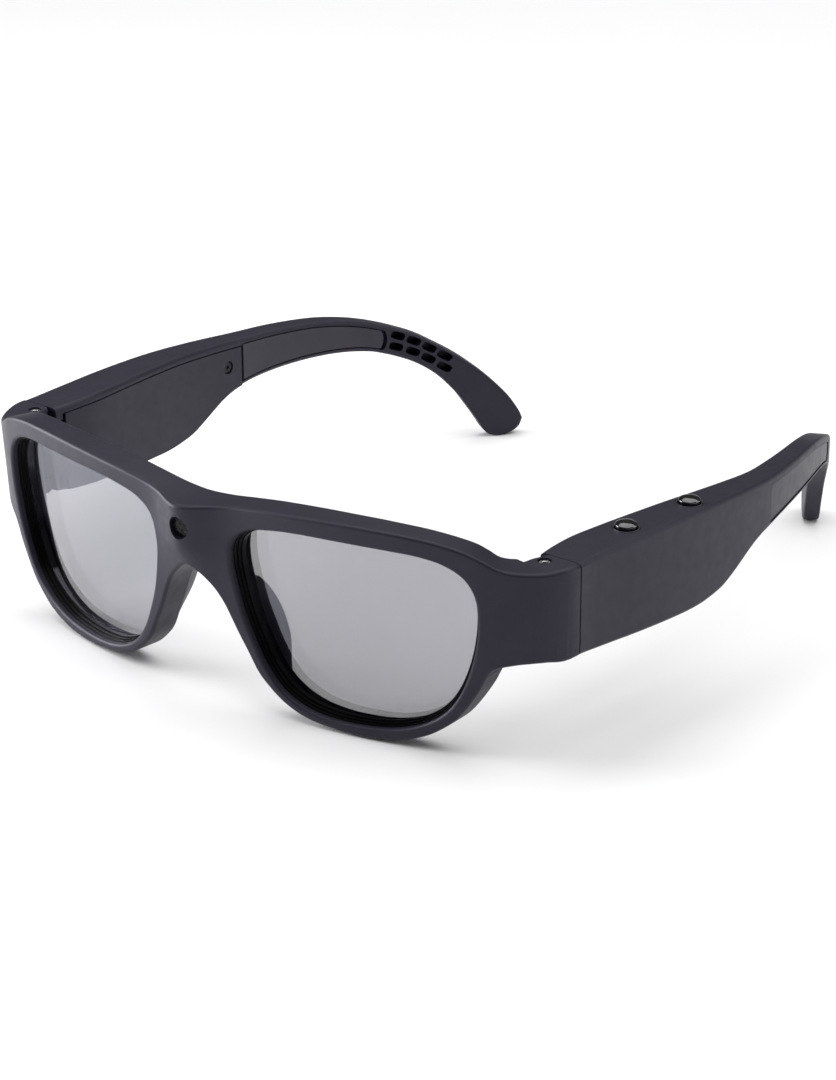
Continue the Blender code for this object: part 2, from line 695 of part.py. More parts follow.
cavity = temple_piece("temple_cavity", strip(4.8, 68.3, WALL, WALL, 3.0), WALL, t_minus(-2.0))
cover_seat = temple_piece("temple_cover_seat", strip(5.2, 70.5, 1.5, -1.5, 3.0), t_minus(COVER_T + 0.2),
                          t_minus(-2.0))
inner_seat = temple_piece("inner_panel_seat", strip(70.4, PANEL_END_Y, 1.1, 0.9, 4.0, 1.3),
                          t_minus(PANEL_T + 0.15), t_minus(-2.0))
outer_seat = temple_piece("outer_panel_seat", strip(REAR_SEAM_Y - 0.2, PANEL_END_Y, 1.7, 0.8, 4.0, 1.6),
                          -2.0, PANEL_T + 0.15)


def core_strip(y0, y1, half):
    ys = list(np.linspace(y0, y1, 11))
    mid = [(float(top_line(y)) + float(bottom_line(y))) / 2 for y in ys]
    return [(y, m + half) for y, m in zip(ys, mid)] + [(y, m - half) for y, m in zip(ys[::-1], mid[::-1])]


core_groove = temple_piece("core_groove", core_strip(66.0, 110.5, 1.3), t_minus(2.4), t_minus(0.9))
lug_window = box("lug_window", (60, 2, SLOT_Z[0]), (HINGE_X + 2.65, 6, SLOT_Z[1]))
cut(shell, cavity, cover_seat, inner_seat, outer_seat, core_groove, lug_window)

for k, (y, z) in enumerate(TIP_SLOTS):
    lean = math.atan2(float(top_line(y + 2) - top_line(y - 2)), 4.0)
    line = []
    for a in range(12):
        angle = 2 * math.pi * (a + 0.5) / 12
        ca = math.copysign(abs(math.cos(angle)) ** 0.55, math.cos(angle)) * SLOT_LONG / 2
        sa = math.copysign(abs(math.sin(angle)) ** 0.55, math.sin(angle)) * SLOT_WIDE / 2
        line.append((y + ca * math.cos(lean) - sa * math.sin(lean),
                     z + ca * math.sin(lean) + sa * math.cos(lean)))
    cut(shell, temple_piece("tip_slot_%d" % k, line, SLOT_FLOOR, t_minus(-2.0)))


def temple_cylinder(name, y, z, w0, w1, r, collection=tools, steps=16):
    """A cylinder square to the temple's face."""
    a, b = temple_map([(y, w0, z), (y, w1, z)])
    axis = Vector(b) - Vector(a)
    turn = axis.to_track_quat("Z", "Y").to_matrix().to_4x4()
    bm = bmesh.new()
    bmesh.ops.create_cone(bm, cap_ends=True, segments=steps, radius1=r, radius2=r, depth=axis.length)
    bm.transform(Matrix.Translation((Vector(a) + Vector(b)) / 2) @ turn)
    mesh = bpy.data.meshes.new(name)
    bm.to_mesh(mesh)
    bm.free()
    return add_object(name, mesh, collection)


LUG_SCREW = (9.5, -10.0)
COVER_SCREW = (65.2, -10.4)
t_screw = float(temple_t(COVER_SCREW[0]))
boolean(shell, temple_cylinder("lug_boss", *LUG_SCREW, 1.2, 3.9, 2.0), "UNION")
boolean(shell, temple_cylinder("cover_boss", *COVER_SCREW, 1.2, t_screw - COVER_T - 0.3, 2.0), "UNION")
cut(shell, temple_cylinder("lug_pilot", *LUG_SCREW, 1.8, 5.0, 0.63),
    temple_cylinder("cover_pilot", *COVER_SCREW, 2.2, 8.0, 0.63))
shell_left = mirrored(shell, "temple_shell_left")

# the +X temple's two buttons go through its top wall
for label, y in BUTTONS:
    zt = float(top_line(y))
    cx, cy, _ = temple_map([(y, float(temple_t(y)) / 2, 0)])[0]
    cut(shell, turned("button_hole_" + label, [(BUTTON_BORE_R, zt + 3), (BUTTON_BORE_R, zt - 3)], (cx, cy, 0)),
        turned("ring_seat_" + label, [(RING_R + 0.1, zt + 3), (RING_R + 0.1, zt - 0.7)], (cx, cy, 0)))
    dome = [(0.0, zt + 1.35), (0.8, zt + 1.3), (1.5, zt + 1.1), (2.0, zt + 0.8), (BUTTON_R, zt + 0.4),
            (BUTTON_R, zt - 2.1), (BUTTON_FLANGE_R, zt - 2.1), (BUTTON_FLANGE_R, zt - 2.7), (0.8, zt - 2.7),
            (0.8, zt - 3.7), (0.0, zt - 3.7)]
    keep(turned("button_" + label, dome, (cx, cy, 0), "Z", 24, parts), CHROME, (cx, cy, zt))
    ring = [(RING_R, zt + 0.05), (RING_R - 0.1, zt + 0.15), (BUTTON_BORE_R + 0.05, zt + 0.1),
            (BUTTON_BORE_R + 0.05, zt - 0.62), (RING_R, zt - 0.62), (RING_R, zt + 0.05)]
    keep(turned("button_ring_" + label, ring, (cx, cy, 0), "Z", 24, parts), PANEL, PIVOT_R)
    switch = box("switch_" + label, (cx - 1.7, cy - 1.7, -8.1), (cx + 1.7, cy + 1.7, zt - 4.6), parts)
    boolean(switch, turned("plunger_" + label, [(0.9, zt - 4.25), (0.9, zt - 5.2)], (cx, cy, 0)), "UNION")
    keep(switch, CHIP, PIVOT_R)
merge_flats(shell)
merge_flats(shell_left)
keep(shell, PLASTIC, PIVOT_R)
keep(shell_left, PLASTIC, PIVOT_L)

# inner covers, with the screw's counterbore
cover = temple_piece("inner_cover_right", strip(5.5, 70.15, 1.75, 0.0, 3.0), t_minus(COVER_T), t_minus(0.0),
                     parts)
cut(cover, temple_cylinder("cover_counterbore", *COVER_SCREW, t_screw - 0.95, t_screw + 2, 1.55),
    temple_cylinder("cover_hole", *COVER_SCREW, t_screw - 3, t_screw + 1, 0.85))
cover_left = mirrored(cover, "inner_cover_left")
contact = (56.0, -10.5)
CONTACT_W = (4.95, 7.3)
window_line = [(contact[0] + a * 3.6, contact[1] + b * 1.5) for a, b in ((-1, -1), (1, -1), (1, 1), (-1, 1))]
window = temple_piece("contact_window", window_line, t_minus(3.0), t_minus(-2.0))
cut(cover, window)
keep(cover, PLASTIC, PIVOT_R)
keep(cover_left, PLASTIC, PIVOT_L)
inner_panel = temple_piece("rear_inner_panel_right",
                           strip(70.7, PANEL_END_Y - 0.8, 1.35, 1.15, 4.0, 1.1),
                           t_minus(PANEL_T), t_minus(0.0), parts)
outer_panel = temple_piece("rear_outer_panel_right",
                           strip(REAR_SEAM_Y + 0.1, PANEL_END_Y - 0.3, 1.9, 1.0, 4.0, 1.4),
                           0.2, PANEL_T, parts)
core = temple_piece("temple_core_right", core_strip(68.5, 110.0, 1.0), t_minus(2.2), t_minus(1.7), parts)
both = [(inner_panel, PANEL), (outer_panel, PANEL), (core, STEEL)]

# hinge lug: a barrel on the pin and a leaf screwed inside the temple
lug_line = [(HINGE_X - LUG_R * math.cos(math.pi * k / 16), -LUG_R * math.sin(math.pi * k / 16))
            for k in range(17)]
lug_line += [(HINGE_X + LUG_R, 13.0), (68.2, 13.0), (68.2, 5.0), (HINGE_X - LUG_R, 5.0)]
lug = upright_prism("hinge_lug_right", lug_line, *LUG_Z, parts)
cut(lug, turned("lug_bore", [(PIN_R + 0.04, 0), (PIN_R + 0.04, -20)], (HINGE_X, 0, 0)),
    temple_cylinder("lug_screw_hole", *LUG_SCREW, 2, 8, 0.8))
both.append((lug, STEEL))


def screw(name, y, z, w_top, head_t, w_end):
    body = temple_cylinder(name, y, z, w_top - head_t, w_top, 1.25, parts)
    boolean(body, temple_cylinder(name + "_shank", y, z, w_end, w_top - head_t + 0.1, 0.6), "UNION")
    cut(body, temple_cylinder(name + "_socket", y, z, w_top - 0.35, w_top + 1, 0.5, steps=6))
    return body


both.append((screw("cover_screw_right", *COVER_SCREW, t_screw - 0.4, 0.5, 2.6), STEEL))
both.append((screw("hinge_lug_screw_right", *LUG_SCREW, 6.25, 0.6, 2.2), STEEL))
for obj, mat in both:
    keep(obj, mat, PIVOT_R)
    keep(mirrored(obj, obj.name.replace("_right", "_left")), mat, PIVOT_L)


# ---------------------------------------------------------------- what is inside the temples
def temple_box(name, y0, y1, z0, z1, w0, w1, ref=(12.0, 56.0)):
    """A straight box lying along the chord of the temple's outer face between two stations."""
    a, b = [Vector(p) for p in temple_map([(ref[0], 0, 0), (ref[1], 0, 0)])]
    obj = box(name, (y0 - ref[0], w0, z0), (y1 - ref[0], w1, z1), parts)
    along = (b - a).normalized()
    inwards = Vector((-along.y, along.x, 0))
    turn = Matrix((along, inwards, Vector((0, 0, 1)))).transposed().to_4x4()
    obj.data.transform(Matrix.Translation(a) @ turn)
    return obj


keep(temple_box("charging_contact_block", contact[0] - 3.3, contact[0] + 3.3, contact[1] - 1.2,
                contact[1] + 1.2, CONTACT_W[0], CONTACT_W[1], (contact[0] - 3.3, contact[0] + 3.3)),
     GOLD, PIVOT_R)
keep(temple_box("button_board", 19.0, 47.0, -8.9, -8.2, 2.4, 5.4), BOARD, PIVOT_R)
keep(temple_box("main_board", 15.0, 55.0, -17.8, -9.6, 2.0, 2.8), BOARD, PIVOT_R)
keep(temple_box("processor_shield", 17.0, 31.0, -17.0, -10.4, 2.9, 4.4), CAN, PIVOT_R)
keep(temple_box("card_socket", 33.5, 47.5, -17.4, -16.4, 2.9, 4.6), CAN, PIVOT_R)
keep(temple_box("memory_card", 34.0, 47.0, -16.2, -10.0, 3.2, 3.9), CHIP, PIVOT_R)
keep(temple_box("microphone", 49.5, 53.0, -16.5, -14.0, 2.9, 3.9), CAN, PIVOT_R)
for name, dims, mat in (("battery_cell", (14.0, 50.0, -18.0, -4.8, 1.9, 5.4), CELL),
                        ("battery_board", (51.5, 57.0, -15.5, -6.5, 2.2, 3.0), BOARD)):
    source = temple_box(name, *dims)
    keep(mirrored(source, name + "_left"), mat, PIVOT_L)
    bpy.data.objects.remove(source)

# ---------------------------------------------------------------- lay it down and scale to metres
tilt = Matrix.Rotation(math.radians(TILT_DEG), 4, "X")
place = Matrix.Scale(MM, 4) @ Matrix.Translation((0, SHIFT_Y, SHIFT_Z)) @ tilt
for obj, pivot in KEEP:
    obj.data.transform(Matrix.Translation(-pivot))
    obj.data.transform(Matrix.Scale(MM, 4) @ tilt)
    obj.location = place @ pivot
    bm = bmesh.new()
    bm.from_mesh(obj.data)
    bmesh.ops.triangulate(bm, faces=[f for f in bm.faces if len(f.verts) > 4])
    bm.to_mesh(obj.data)
    bm.free()
for obj in list(tools.objects):
    obj.data.transform(place)
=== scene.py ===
"""Looks of the camera smart glasses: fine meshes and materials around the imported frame.

Shapes are worked out in the design frame, in millimetres: +X is the wearer's left, the front faces
-Y, the temples run to +Y, and the two hinge axes are vertical, at (+-HINGE_X, 0).  place() then lays
them down in the row frame, in metres.
"""
import json
import math

import bmesh
import bpy
import numpy as np
from mathutils import Matrix, Vector

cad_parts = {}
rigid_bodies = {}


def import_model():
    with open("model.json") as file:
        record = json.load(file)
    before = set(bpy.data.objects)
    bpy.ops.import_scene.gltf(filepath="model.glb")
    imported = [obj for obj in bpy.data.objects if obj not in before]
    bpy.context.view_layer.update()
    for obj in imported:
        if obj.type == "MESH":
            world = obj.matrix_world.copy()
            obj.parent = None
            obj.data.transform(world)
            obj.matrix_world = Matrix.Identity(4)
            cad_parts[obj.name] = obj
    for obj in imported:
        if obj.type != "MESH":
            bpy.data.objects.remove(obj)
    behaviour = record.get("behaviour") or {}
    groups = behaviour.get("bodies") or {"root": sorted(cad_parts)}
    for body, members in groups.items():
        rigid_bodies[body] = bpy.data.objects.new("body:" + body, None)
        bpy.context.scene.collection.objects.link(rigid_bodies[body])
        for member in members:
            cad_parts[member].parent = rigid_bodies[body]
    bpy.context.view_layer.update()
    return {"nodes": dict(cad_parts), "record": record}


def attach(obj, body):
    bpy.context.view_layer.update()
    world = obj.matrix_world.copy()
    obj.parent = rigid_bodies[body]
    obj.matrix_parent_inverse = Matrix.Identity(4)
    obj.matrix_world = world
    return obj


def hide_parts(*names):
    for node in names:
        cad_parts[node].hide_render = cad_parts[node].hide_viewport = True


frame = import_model()

# ---------------------------------------------------------------- driving dimensions (mm)
HINGE_X = 67.0
TILT_DEG = 1.67
SHIFT_Y = -58.26
SHIFT_Z = 40.42
PLACE = (Matrix.Scale(0.001, 4) @ Matrix.Translation((0, SHIFT_Y, SHIFT_Z))
         @ Matrix.Rotation(math.radians(TILT_DEG), 4, "X"))

PANTO = 0.0736            # backward lean of the front, mm per mm of height
FACE_Y = -25.8            # front face on the mid-plane, before the camera bulge
BULGE = 3.7               # forward bulge over the camera
BULGE_WIDTH = 6.2
BULGE_DEPTH = 7.0         # the bulge is gone this far behind the face
UPRIGHT_U = (68.0, 83.0)  # between these distances along the face the lean fades to none
WALL_Z = (-19.5, -22.5)   # between these heights the rims' outer walls turn to run straight back,
WALL_U = (40.0, 50.0)     # and between these distances along the face,
WALL_GAP = (0.9, 1.7)     # and between these distances from the lens opening
FRONT_T_REF = 7.0
FRONT_EDGE_R = 0.75
SEAM_Y = 2.75             # rear face of the end-pieces
TEMPLE_Y = 3.05           # front face of the temples
PAST_SEAM = 4.0           # how far both run on before they are cut square at the seam
SEAM_EDGE_R = 0.16
BEND_STEP = 1.2           # distance between the cuts that let the front's flat faces bend

LENS_T = 1.8
LENS_GAP = 0.25
GROOVE_DEPTH = 1.0
PAD_TOP_Z = -14.6
PAD_HEIGHT = 17.6
STEP_IN = 0.24            # each step of the lens seat goes in this far
STEP_DEPTHS = (1.35, 2.2, 3.05)

CAMERA_Z = -1.2
CAMERA_HOLE_R = 2.3
BORE_Y = -29.35           # where the camera's bore meets the bridge's face
WINDOW_Y = -27.95
BARREL_Y = -25.4
CAVITY_BOX = ((-6.5, -25.6, -6.4), (6.5, -12.0, 2.5))
COVER_SEAT_BOX = ((-7.6, -20.4, -7.6), (7.6, -12.0, 2.3))
BRIDGE_COVER_BOX = ((-7.3, -20.1, -7.3), (7.3, -18.95, 2.0))

PIN_R = 0.8
PIN_BORE_R = 0.83
PIN_HEAD_R = 1.25
PIN_HEAD_BORE_R = 1.4
SLOT_R = 2.65             # round end of the hinge slot, about the hinge axis
SLOT_Z = (-16.3, -3.7)
CORNER_R = 2.6            # round inner corner of the end-piece, about the hinge axis
CORNER_BOX = ((60.0, 0.0, -25.0), (HINGE_X, 4.0, 3.0))
RELIEF_BOX = ((58.0, -3.6, -25.0), (64.7, 4.5, 3.0))

TEMPLE_T = 9.2
TEMPLE_EDGE_R = 1.0
TEMPLE_BEND_STEP = 1.5    # distance between the cuts that let the temple's flat faces bend
WALL = 1.6
COVER_T = 1.5
REAR_SEAM_Y = 71.0
PANEL_END_Y = 112.9
PANEL_T = 1.0
COVER_PLAY = 0.2          # air behind the inner cover
PANEL_PLAY = 0.15         # air behind a rear panel
OVERCUT = 2.0             # how far a cutter runs on past the face that it opens
LUG_SCREW = (9.5, -10.0)  # places on the temple, (y, z)
COVER_SCREW = (65.2, -10.4)
CONTACT = (56.0, -10.5)
CONTACT_HALF = (3.6, 1.5)
BOSS_R = 2.0
PILOT_R = 0.63

BUTTONS = (("front", 23.4), ("rear", 43.9))
BUTTON_R = 2.27
BUTTON_BORE_R = 2.4
BUTTON_FLANGE_R = 2.6
BUTTON_LIFT = 0.55        # height of the dome's foot above the temple's top edge
DOME_H = 0.8
RING_R = 2.75
RING_SEAT_DEPTH = 0.7

# plan curve of the front's outer face past the lenses, (x, y)
END_CURVE = [(62.0, -13.7), (65.4, -11.6), (68.6, -8.7), (71.2, -5.2), (72.8, -1.6), (73.4, 1.0),
             (73.5, 2.75)]
# upper outline of the front, (x, z), middle to end-piece
TOP_LINE = [(0, 4.0), (6.5, 4.35), (13, 5.1), (19, 5.7), (26, 6.1), (32, 6.3), (40, 6.35), (46, 6.15),
            (51, 5.8), (55, 5.2), (58, 4.5), (60.5, 3.6), (62.8, 2.4), (64.8, 1.1), (66.8, 0.35),
            (69, -0.1), (71.2, -0.5)]
END_TOP_Z = -0.65
END_BOTTOM_Z = -19.9
# lower outline of the front, (x, z), end-piece to middle
BOTTOM_LINE = [(71.2, -19.4), (68, -19.45), (66, -19.8), (64.4, -20.2), (63.0, -21.1), (61.9, -22.6),
               (61.0, -24.6), (59.6, -27.2), (57.4, -30.7), (55.1, -33.4), (51.3, -36.3),
               (48.3, -37.8), (45, -38.9), (40, -39.7), (35, -39.8), (30.5, -39.4), (26.5, -38.9),
               (23.9, -38.2), (21.4, -37.1), (19.0, -35.6), (16.6, -33.5), (14.2, -30.8),
               (12.05, -26.7), (10.1, -23.0), (8.8, -20.2), (7.3, -17.0), (5.5, -14.2), (3.7, -12.3),
               (2.0, -10.9), (0, -9.9)]
# lens opening, (x, z)
OPENING = [(60.4, -16.6), (61.1, -10.6), (60.7, -5.3), (58.7, -1.5), (55.1, 0.8), (50.3, 1.9),
           (44.6, 2.2), (38.6, 2.3), (32.4, 2.3), (26.2, 2.2), (20.2, 1.7), (14.6, 0.5),
           (10.8, -2.4), (9.8, -7.6), (10.6, -13.5), (11.8, -18.7), (13.6, -23.6), (16.1, -29.0),
           (19.8, -33.6), (25.0, -36.4), (31.0, -37.5), (37.3, -37.5), (42.9, -36.9),
           (47.4, -35.6), (51.0, -33.8), (54.2, -31.2), (56.8, -27.5), (58.9, -22.5)]
# thickness of the front, and depth of the lens behind the face, along the front, (u, mm)
FRONT_T = [(0, 7.0), (26, 7.0), (40, 6.5), (50, 6.2), (59, 6.3), (66, 7.2), (73, 8.3), (84.6, 8.3)]
LENS_DEPTH = [(0, 4.7), (10, 4.6), (30, 4.2), (62, 3.5), (84.6, 3.5)]

# temple: outer face in plan, (y, x), and its side profile, (y, z)
TEMPLE_X = [(-10, 73.5), (3, 73.5), (6, 73.52), (12, 73.9), (20, 74.6), (35, 75.5), (48, 75.75),
            (60, 75.4), (71, 74.5), (85, 72.2), (100, 68.3), (113, 63.6), (125, 57.4), (134, 51.3),
            (141, 46.5), (147, 42.4)]
TEMPLE_THICK = [(0, 9.2), (6, 10.0), (12, 10.6), (20, 10.6), (30, 10.0), (40, 9.2), (48, 8.4), (60, 7.2),
                (71, 6.1), (85, 5.3), (100, 4.8), (113, 4.6), (125, 4.3), (134, 4.0), (141, 3.8),
                (147, 3.7)]
TEMPLE_TOP = [(TEMPLE_Y, -0.7), (10, -0.8), (17.6, -1.05), (31.4, -1.6), (45.1, -2.4), (58.6, -3.6),
              (71.6, -4.85), (83.8, -5.55), (95.3, -6.65), (102.8, -8.05), (108.5, -9.6),
              (113.3, -11.3), (117.1, -12.9), (122.1, -15.35), (126.6, -18.4), (131.1, -21.85),
              (135.4, -25.9), (138.8, -29.6), (142.1, -33.8), (144.5, -38.0)]
TEMPLE_TIP = [(145.5, -40.6), (144.8, -42.6), (143.3, -43.9), (141.5, -44.5), (139.6, -44.5),
              (137.9, -43.7), (136.8, -42.3)]
TEMPLE_BOTTOM = [(135.6, -39.9), (133.2, -35.5), (130.9, -31.6), (127.6, -27.3), (124.6, -24.5),
                 (121.0, -22.0), (117.4, -20.15), (113.3, -18.45), (109.4, -17.2), (102.0, -15.9),
                 (94.3, -15.3), (88, -15.15), (82, -15.2), (76, -15.5), (71, -16.0), (66.5, -16.7),
                 (63, -17.7), (60, -18.9), (57, -20.2), (54, -21.4), (51, -22.4), (47, -23.0),
                 (42, -23.3), (35, -23.0), (22, -21.95), (9.4, -20.75), (TEMPLE_Y, -20.0)]
TIP_SLOTS = [(117.0, -14.5), (121.0, -16.5), (124.8, -18.85), (128.4, -21.5),
             (116.5, -17.2), (120.8, -19.2), (124.6, -21.6), (128.3, -24.4)]
SLOT_LONG = 3.8
SLOT_WIDE = 1.95
SLOT_FLOOR = 1.2          # thickness left behind a slot of the tip
FINE = 4                  # points on each stretch of an outline

scratch = bpy.data.collections.new("scratch")
bpy.context.scene.collection.children.link(scratch)
shown = bpy.data.collections.new("smart_glasses")
bpy.context.scene.collection.children.link(shown)


# ---------------------------------------------------------------- curves
def smooth(knots):
    """A smooth function through the knots, constant outside them."""
    xs = np.array([k[0] for k in knots], dtype=float)
    ys = np.array([k[1] for k in knots], dtype=float)
    slope = np.gradient(ys, xs)

    def value(x):
        x = np.clip(np.asarray(x, dtype=float), xs[0], xs[-1])
        i = np.clip(np.searchsorted(xs, x) - 1, 0, len(xs) - 2)
        h = xs[i + 1] - xs[i]
        t = (x - xs[i]) / h
        a = 2 * t**3 - 3 * t**2 + 1
        b = t**3 - 2 * t**2 + t
        c = t**3 - t**2
        return a * ys[i] + b * h * slope[i] + (1 - a) * ys[i + 1] + c * h * slope[i + 1]

    return value


def blend_four(p0, p1, p2, p3, t):
    """A point at t between p1 and p2 on the smooth curve through all four."""
    return 0.5 * (2 * p1 + (p2 - p0) * t + (2 * p0 - 5 * p1 + 4 * p2 - p3) * t * t
                  + (3 * p1 - p0 - 3 * p2 + p3) * t**3)


def closed_spline(points, per_segment):
    """A smooth closed curve through the points."""
    p = np.array(points, dtype=float)
    n = len(p)
    return np.array([blend_four(p[i - 1], p[i], p[(i + 1) % n], p[(i + 2) % n], k / per_segment)
                     for i in range(n) for k in range(per_segment)])


def open_spline(points, per_segment):
    """A smooth curve from the first point to the last."""
    p = np.array(points, dtype=float)
    p = np.vstack([2 * p[0] - p[1], p, 2 * p[-1] - p[-2]])
    out = [blend_four(p[i - 1], p[i], p[i + 1], p[i + 2], k / per_segment)
           for i in range(1, len(p) - 2) for k in range(per_segment)]
    return np.array(out + [p[-2]])


def offset(points, distance):
    """Move a closed outline outwards along its normals."""
    p = np.array(points, dtype=float)
    tangent = np.roll(p, -1, 0) - np.roll(p, 1, 0)
    normal = np.c_[tangent[:, 1], -tangent[:, 0]]
    normal /= np.linalg.norm(normal, axis=1)[:, None]
    area = np.sum(p[:, 0] * np.roll(p[:, 1], -1) - np.roll(p[:, 0], -1) * p[:, 1])
    return p + normal * distance * (1 if area > 0 else -1)


def smoothstep(t):
    """From 0 to 1 as t goes from 0 to 1, with level ends."""
    t = np.clip(t, 0.0, 1.0)
    return t * t * (3 - 2 * t)


def rise(value, ends):
    """From 0 to 1 as value goes from the first end to the second, with level ends."""
    start, end = ends
    return smoothstep((value - start) / (end - start))


# ---------------------------------------------------------------- the front's curved space
def face_y(x):
    """Plan curve of the front's outer face over the lenses."""
    return FACE_Y + 2.91e-3 * x**2 + 5.68e-8 * x**4


PLAN = [(x, face_y(x)) for x in (0, 8, 16, 24, 32, 40, 48, 54, 58)] + END_CURVE
STEP = np.linspace(0, len(PLAN) - 1, 4001)
PLAN_X = smooth([(i, p[0]) for i, p in enumerate(PLAN)])(STEP)
PLAN_Y = smooth([(i, p[1]) for i, p in enumerate(PLAN)])(STEP)
PLAN_U = np.concatenate([[0.0], np.cumsum(np.hypot(np.diff(PLAN_X), np.diff(PLAN_Y)))])
U_END = float(PLAN_U[-1])
TANGENT_X = np.gradient(PLAN_X, PLAN_U) * (1 - smoothstep((PLAN_U - U_END + 3.5) / 3.0))
TANGENT_Y = np.gradient(PLAN_Y, PLAN_U)
# straight on past the seam
PLAN_X = np.append(PLAN_X, PLAN_X[-1])
PLAN_Y = np.append(PLAN_Y, PLAN_Y[-1] + PAST_SEAM)
PLAN_U = np.append(PLAN_U, U_END + PAST_SEAM)
TANGENT_X = np.append(TANGENT_X, 0.0)
TANGENT_Y = np.append(TANGENT_Y, 1.0)
front_t = smooth(FRONT_T)
lens_depth = smooth(LENS_DEPTH)


def arc(x):
    """Distance along the face of the point at x."""
    return float(np.interp(x, PLAN_X[:-1], PLAN_U[:-1]))


def bulge(u, z, d):
    """How far the face comes forward over the camera, fading out downwards and inwards."""
    across = np.exp(-(u / BULGE_WIDTH) ** 2)
    down = 1.0 - 0.55 * smoothstep((-4.0 - z) / 8.0)
    behind = np.clip(1.0 - d / BULGE_DEPTH, 0.0, 1.0)
    return BULGE * across * down * behind


def front_map(p):
    """(u along the face, depth behind it, z) to the design frame."""
    p = np.asarray(p, dtype=float)
    side = np.where(p[:, 0] < 0, -1.0, 1.0)
    u = np.abs(p[:, 0])
    d = p[:, 1]
    z = p[:, 2]
    nx = -np.interp(u, PLAN_U, TANGENT_Y)
    ny = np.interp(u, PLAN_U, TANGENT_X)
    fade = 1.0 - rise(u, UPRIGHT_U)
    x = np.interp(u, PLAN_U, PLAN_X) + nx * d
    y = np.interp(u, PLAN_U, PLAN_Y) + ny * d - PANTO * fade * z - bulge(u, z, d)
    return np.c_[side * x, y, z]


# ---------------------------------------------------------------- the temple's curved space
temple_x = smooth(TEMPLE_X)
temple_t = smooth(TEMPLE_THICK)
top_line = smooth(TEMPLE_TOP)
bottom_line = smooth(sorted(TEMPLE_BOTTOM))


def temple_map(p):
    """(y, depth inwards from the outer face, z) of the +X temple to the design frame."""
    p = np.asarray(p, dtype=float)
    y = p[:, 0]
    w = p[:, 1]
    slope = (temple_x(y + 0.05) - temple_x(y - 0.05)) / 0.1
    size = np.sqrt(1 + slope**2)
    return np.c_[temple_x(y) - w / size, y + w * slope / size, p[:, 2]]


def temple_scaled(p):
    """The same, with the depth stated for the thick front end of the temple."""
    q = np.array(p, dtype=float)
    q[:, 1] *= temple_t(q[:, 0]) / TEMPLE_T
    return temple_map(q)


# ---------------------------------------------------------------- mesh helpers
def new_object(name, mesh):
    obj = bpy.data.objects.new(name, mesh)
    scratch.objects.link(obj)
    return obj


def from_bmesh(name, bm):
    mesh = bpy.data.meshes.new(name)
    bm.to_mesh(mesh)
    bm.free()
    return new_object(name, mesh)


def edit(mesh, change):
    """Run change on the mesh's geometry."""
    bm = bmesh.new()
    bm.from_mesh(mesh)
    change(bm)
    bm.to_mesh(mesh)
    bm.free()
    return mesh


def flat_solid(name, outlines, thickness, edge_r=0.0, edge_steps=4):
    """Filled outlines in (a, b), extruded over depth 0..thickness; vertices are (a, depth, b)."""
    curve = bpy.data.curves.new(name, "CURVE")
    curve.dimensions = "2D"
    curve.fill_mode = "BOTH"
    curve.extrude = thickness / 2 - edge_r
    curve.bevel_depth = edge_r
    curve.bevel_resolution = edge_steps if edge_r else 0
    curve.offset = -edge_r
    for line in outlines:
        spline = curve.splines.new("POLY")
        spline.points.add(len(line) - 1)
        for point, (a, b) in zip(spline.points, line):
            point.co = (a, b, 0, 1)
        spline.use_cyclic_u = True
    obj = new_object(name, curve)
    bpy.context.view_layer.update()
    graph = bpy.context.evaluated_depsgraph_get()
    mesh = bpy.data.meshes.new_from_object(obj.evaluated_get(graph))
    bpy.data.objects.remove(obj)

    def weld(bm):
        bmesh.ops.remove_doubles(bm, verts=bm.verts, dist=0.0001)
        bmesh.ops.dissolve_limit(bm, angle_limit=0.001, verts=bm.verts, edges=bm.edges)
        for v in bm.verts:
            a, b, c = v.co
            v.co = (a, c + thickness / 2, b)
        bmesh.ops.recalc_face_normals(bm, faces=bm.faces)

    return edit(mesh, weld)


def slice_caps(mesh, cuts, axis=0, reach=None):
    """Cut the two flat faces across, at the given coordinates, so that they can be bent.

    With reach, only the faces within that distance of the mid-plane are cut.
    """
    normal = Vector((0, 0, 0))
    normal[axis] = 1

    def slices(bm):
        for c in cuts:
            bm.normal_update()
            faces = [f for f in bm.faces if abs(f.normal.y) > 0.999
                     and (reach is None or abs(f.calc_center_median().x) < reach)]
            faces = [f for f in faces if min(v.co[axis] for v in f.verts) < c - 1e-4
                     and max(v.co[axis] for v in f.verts) > c + 1e-4]
            geom = set(faces)
            for f in faces:
                geom.update(f.edges)
                geom.update(f.verts)
            bmesh.ops.bisect_plane(bm, geom=list(geom), plane_co=normal * c, plane_no=normal, dist=0.0001)

    return edit(mesh, slices)


def apply_map(mesh, mapping):
    """Move every vertex through the mapping, and leave no face with more than four corners."""
    co = np.empty(len(mesh.vertices) * 3)
    mesh.vertices.foreach_get("co", co)
    mesh.vertices.foreach_set("co", mapping(co.reshape(-1, 3)).ravel())
    mesh.update()

    def tidy(bm):
        bmesh.ops.recalc_face_normals(bm, faces=bm.faces)
        bmesh.ops.triangulate(bm, faces=[f for f in bm.faces if len(f.verts) > 4])

    return edit(mesh, tidy)


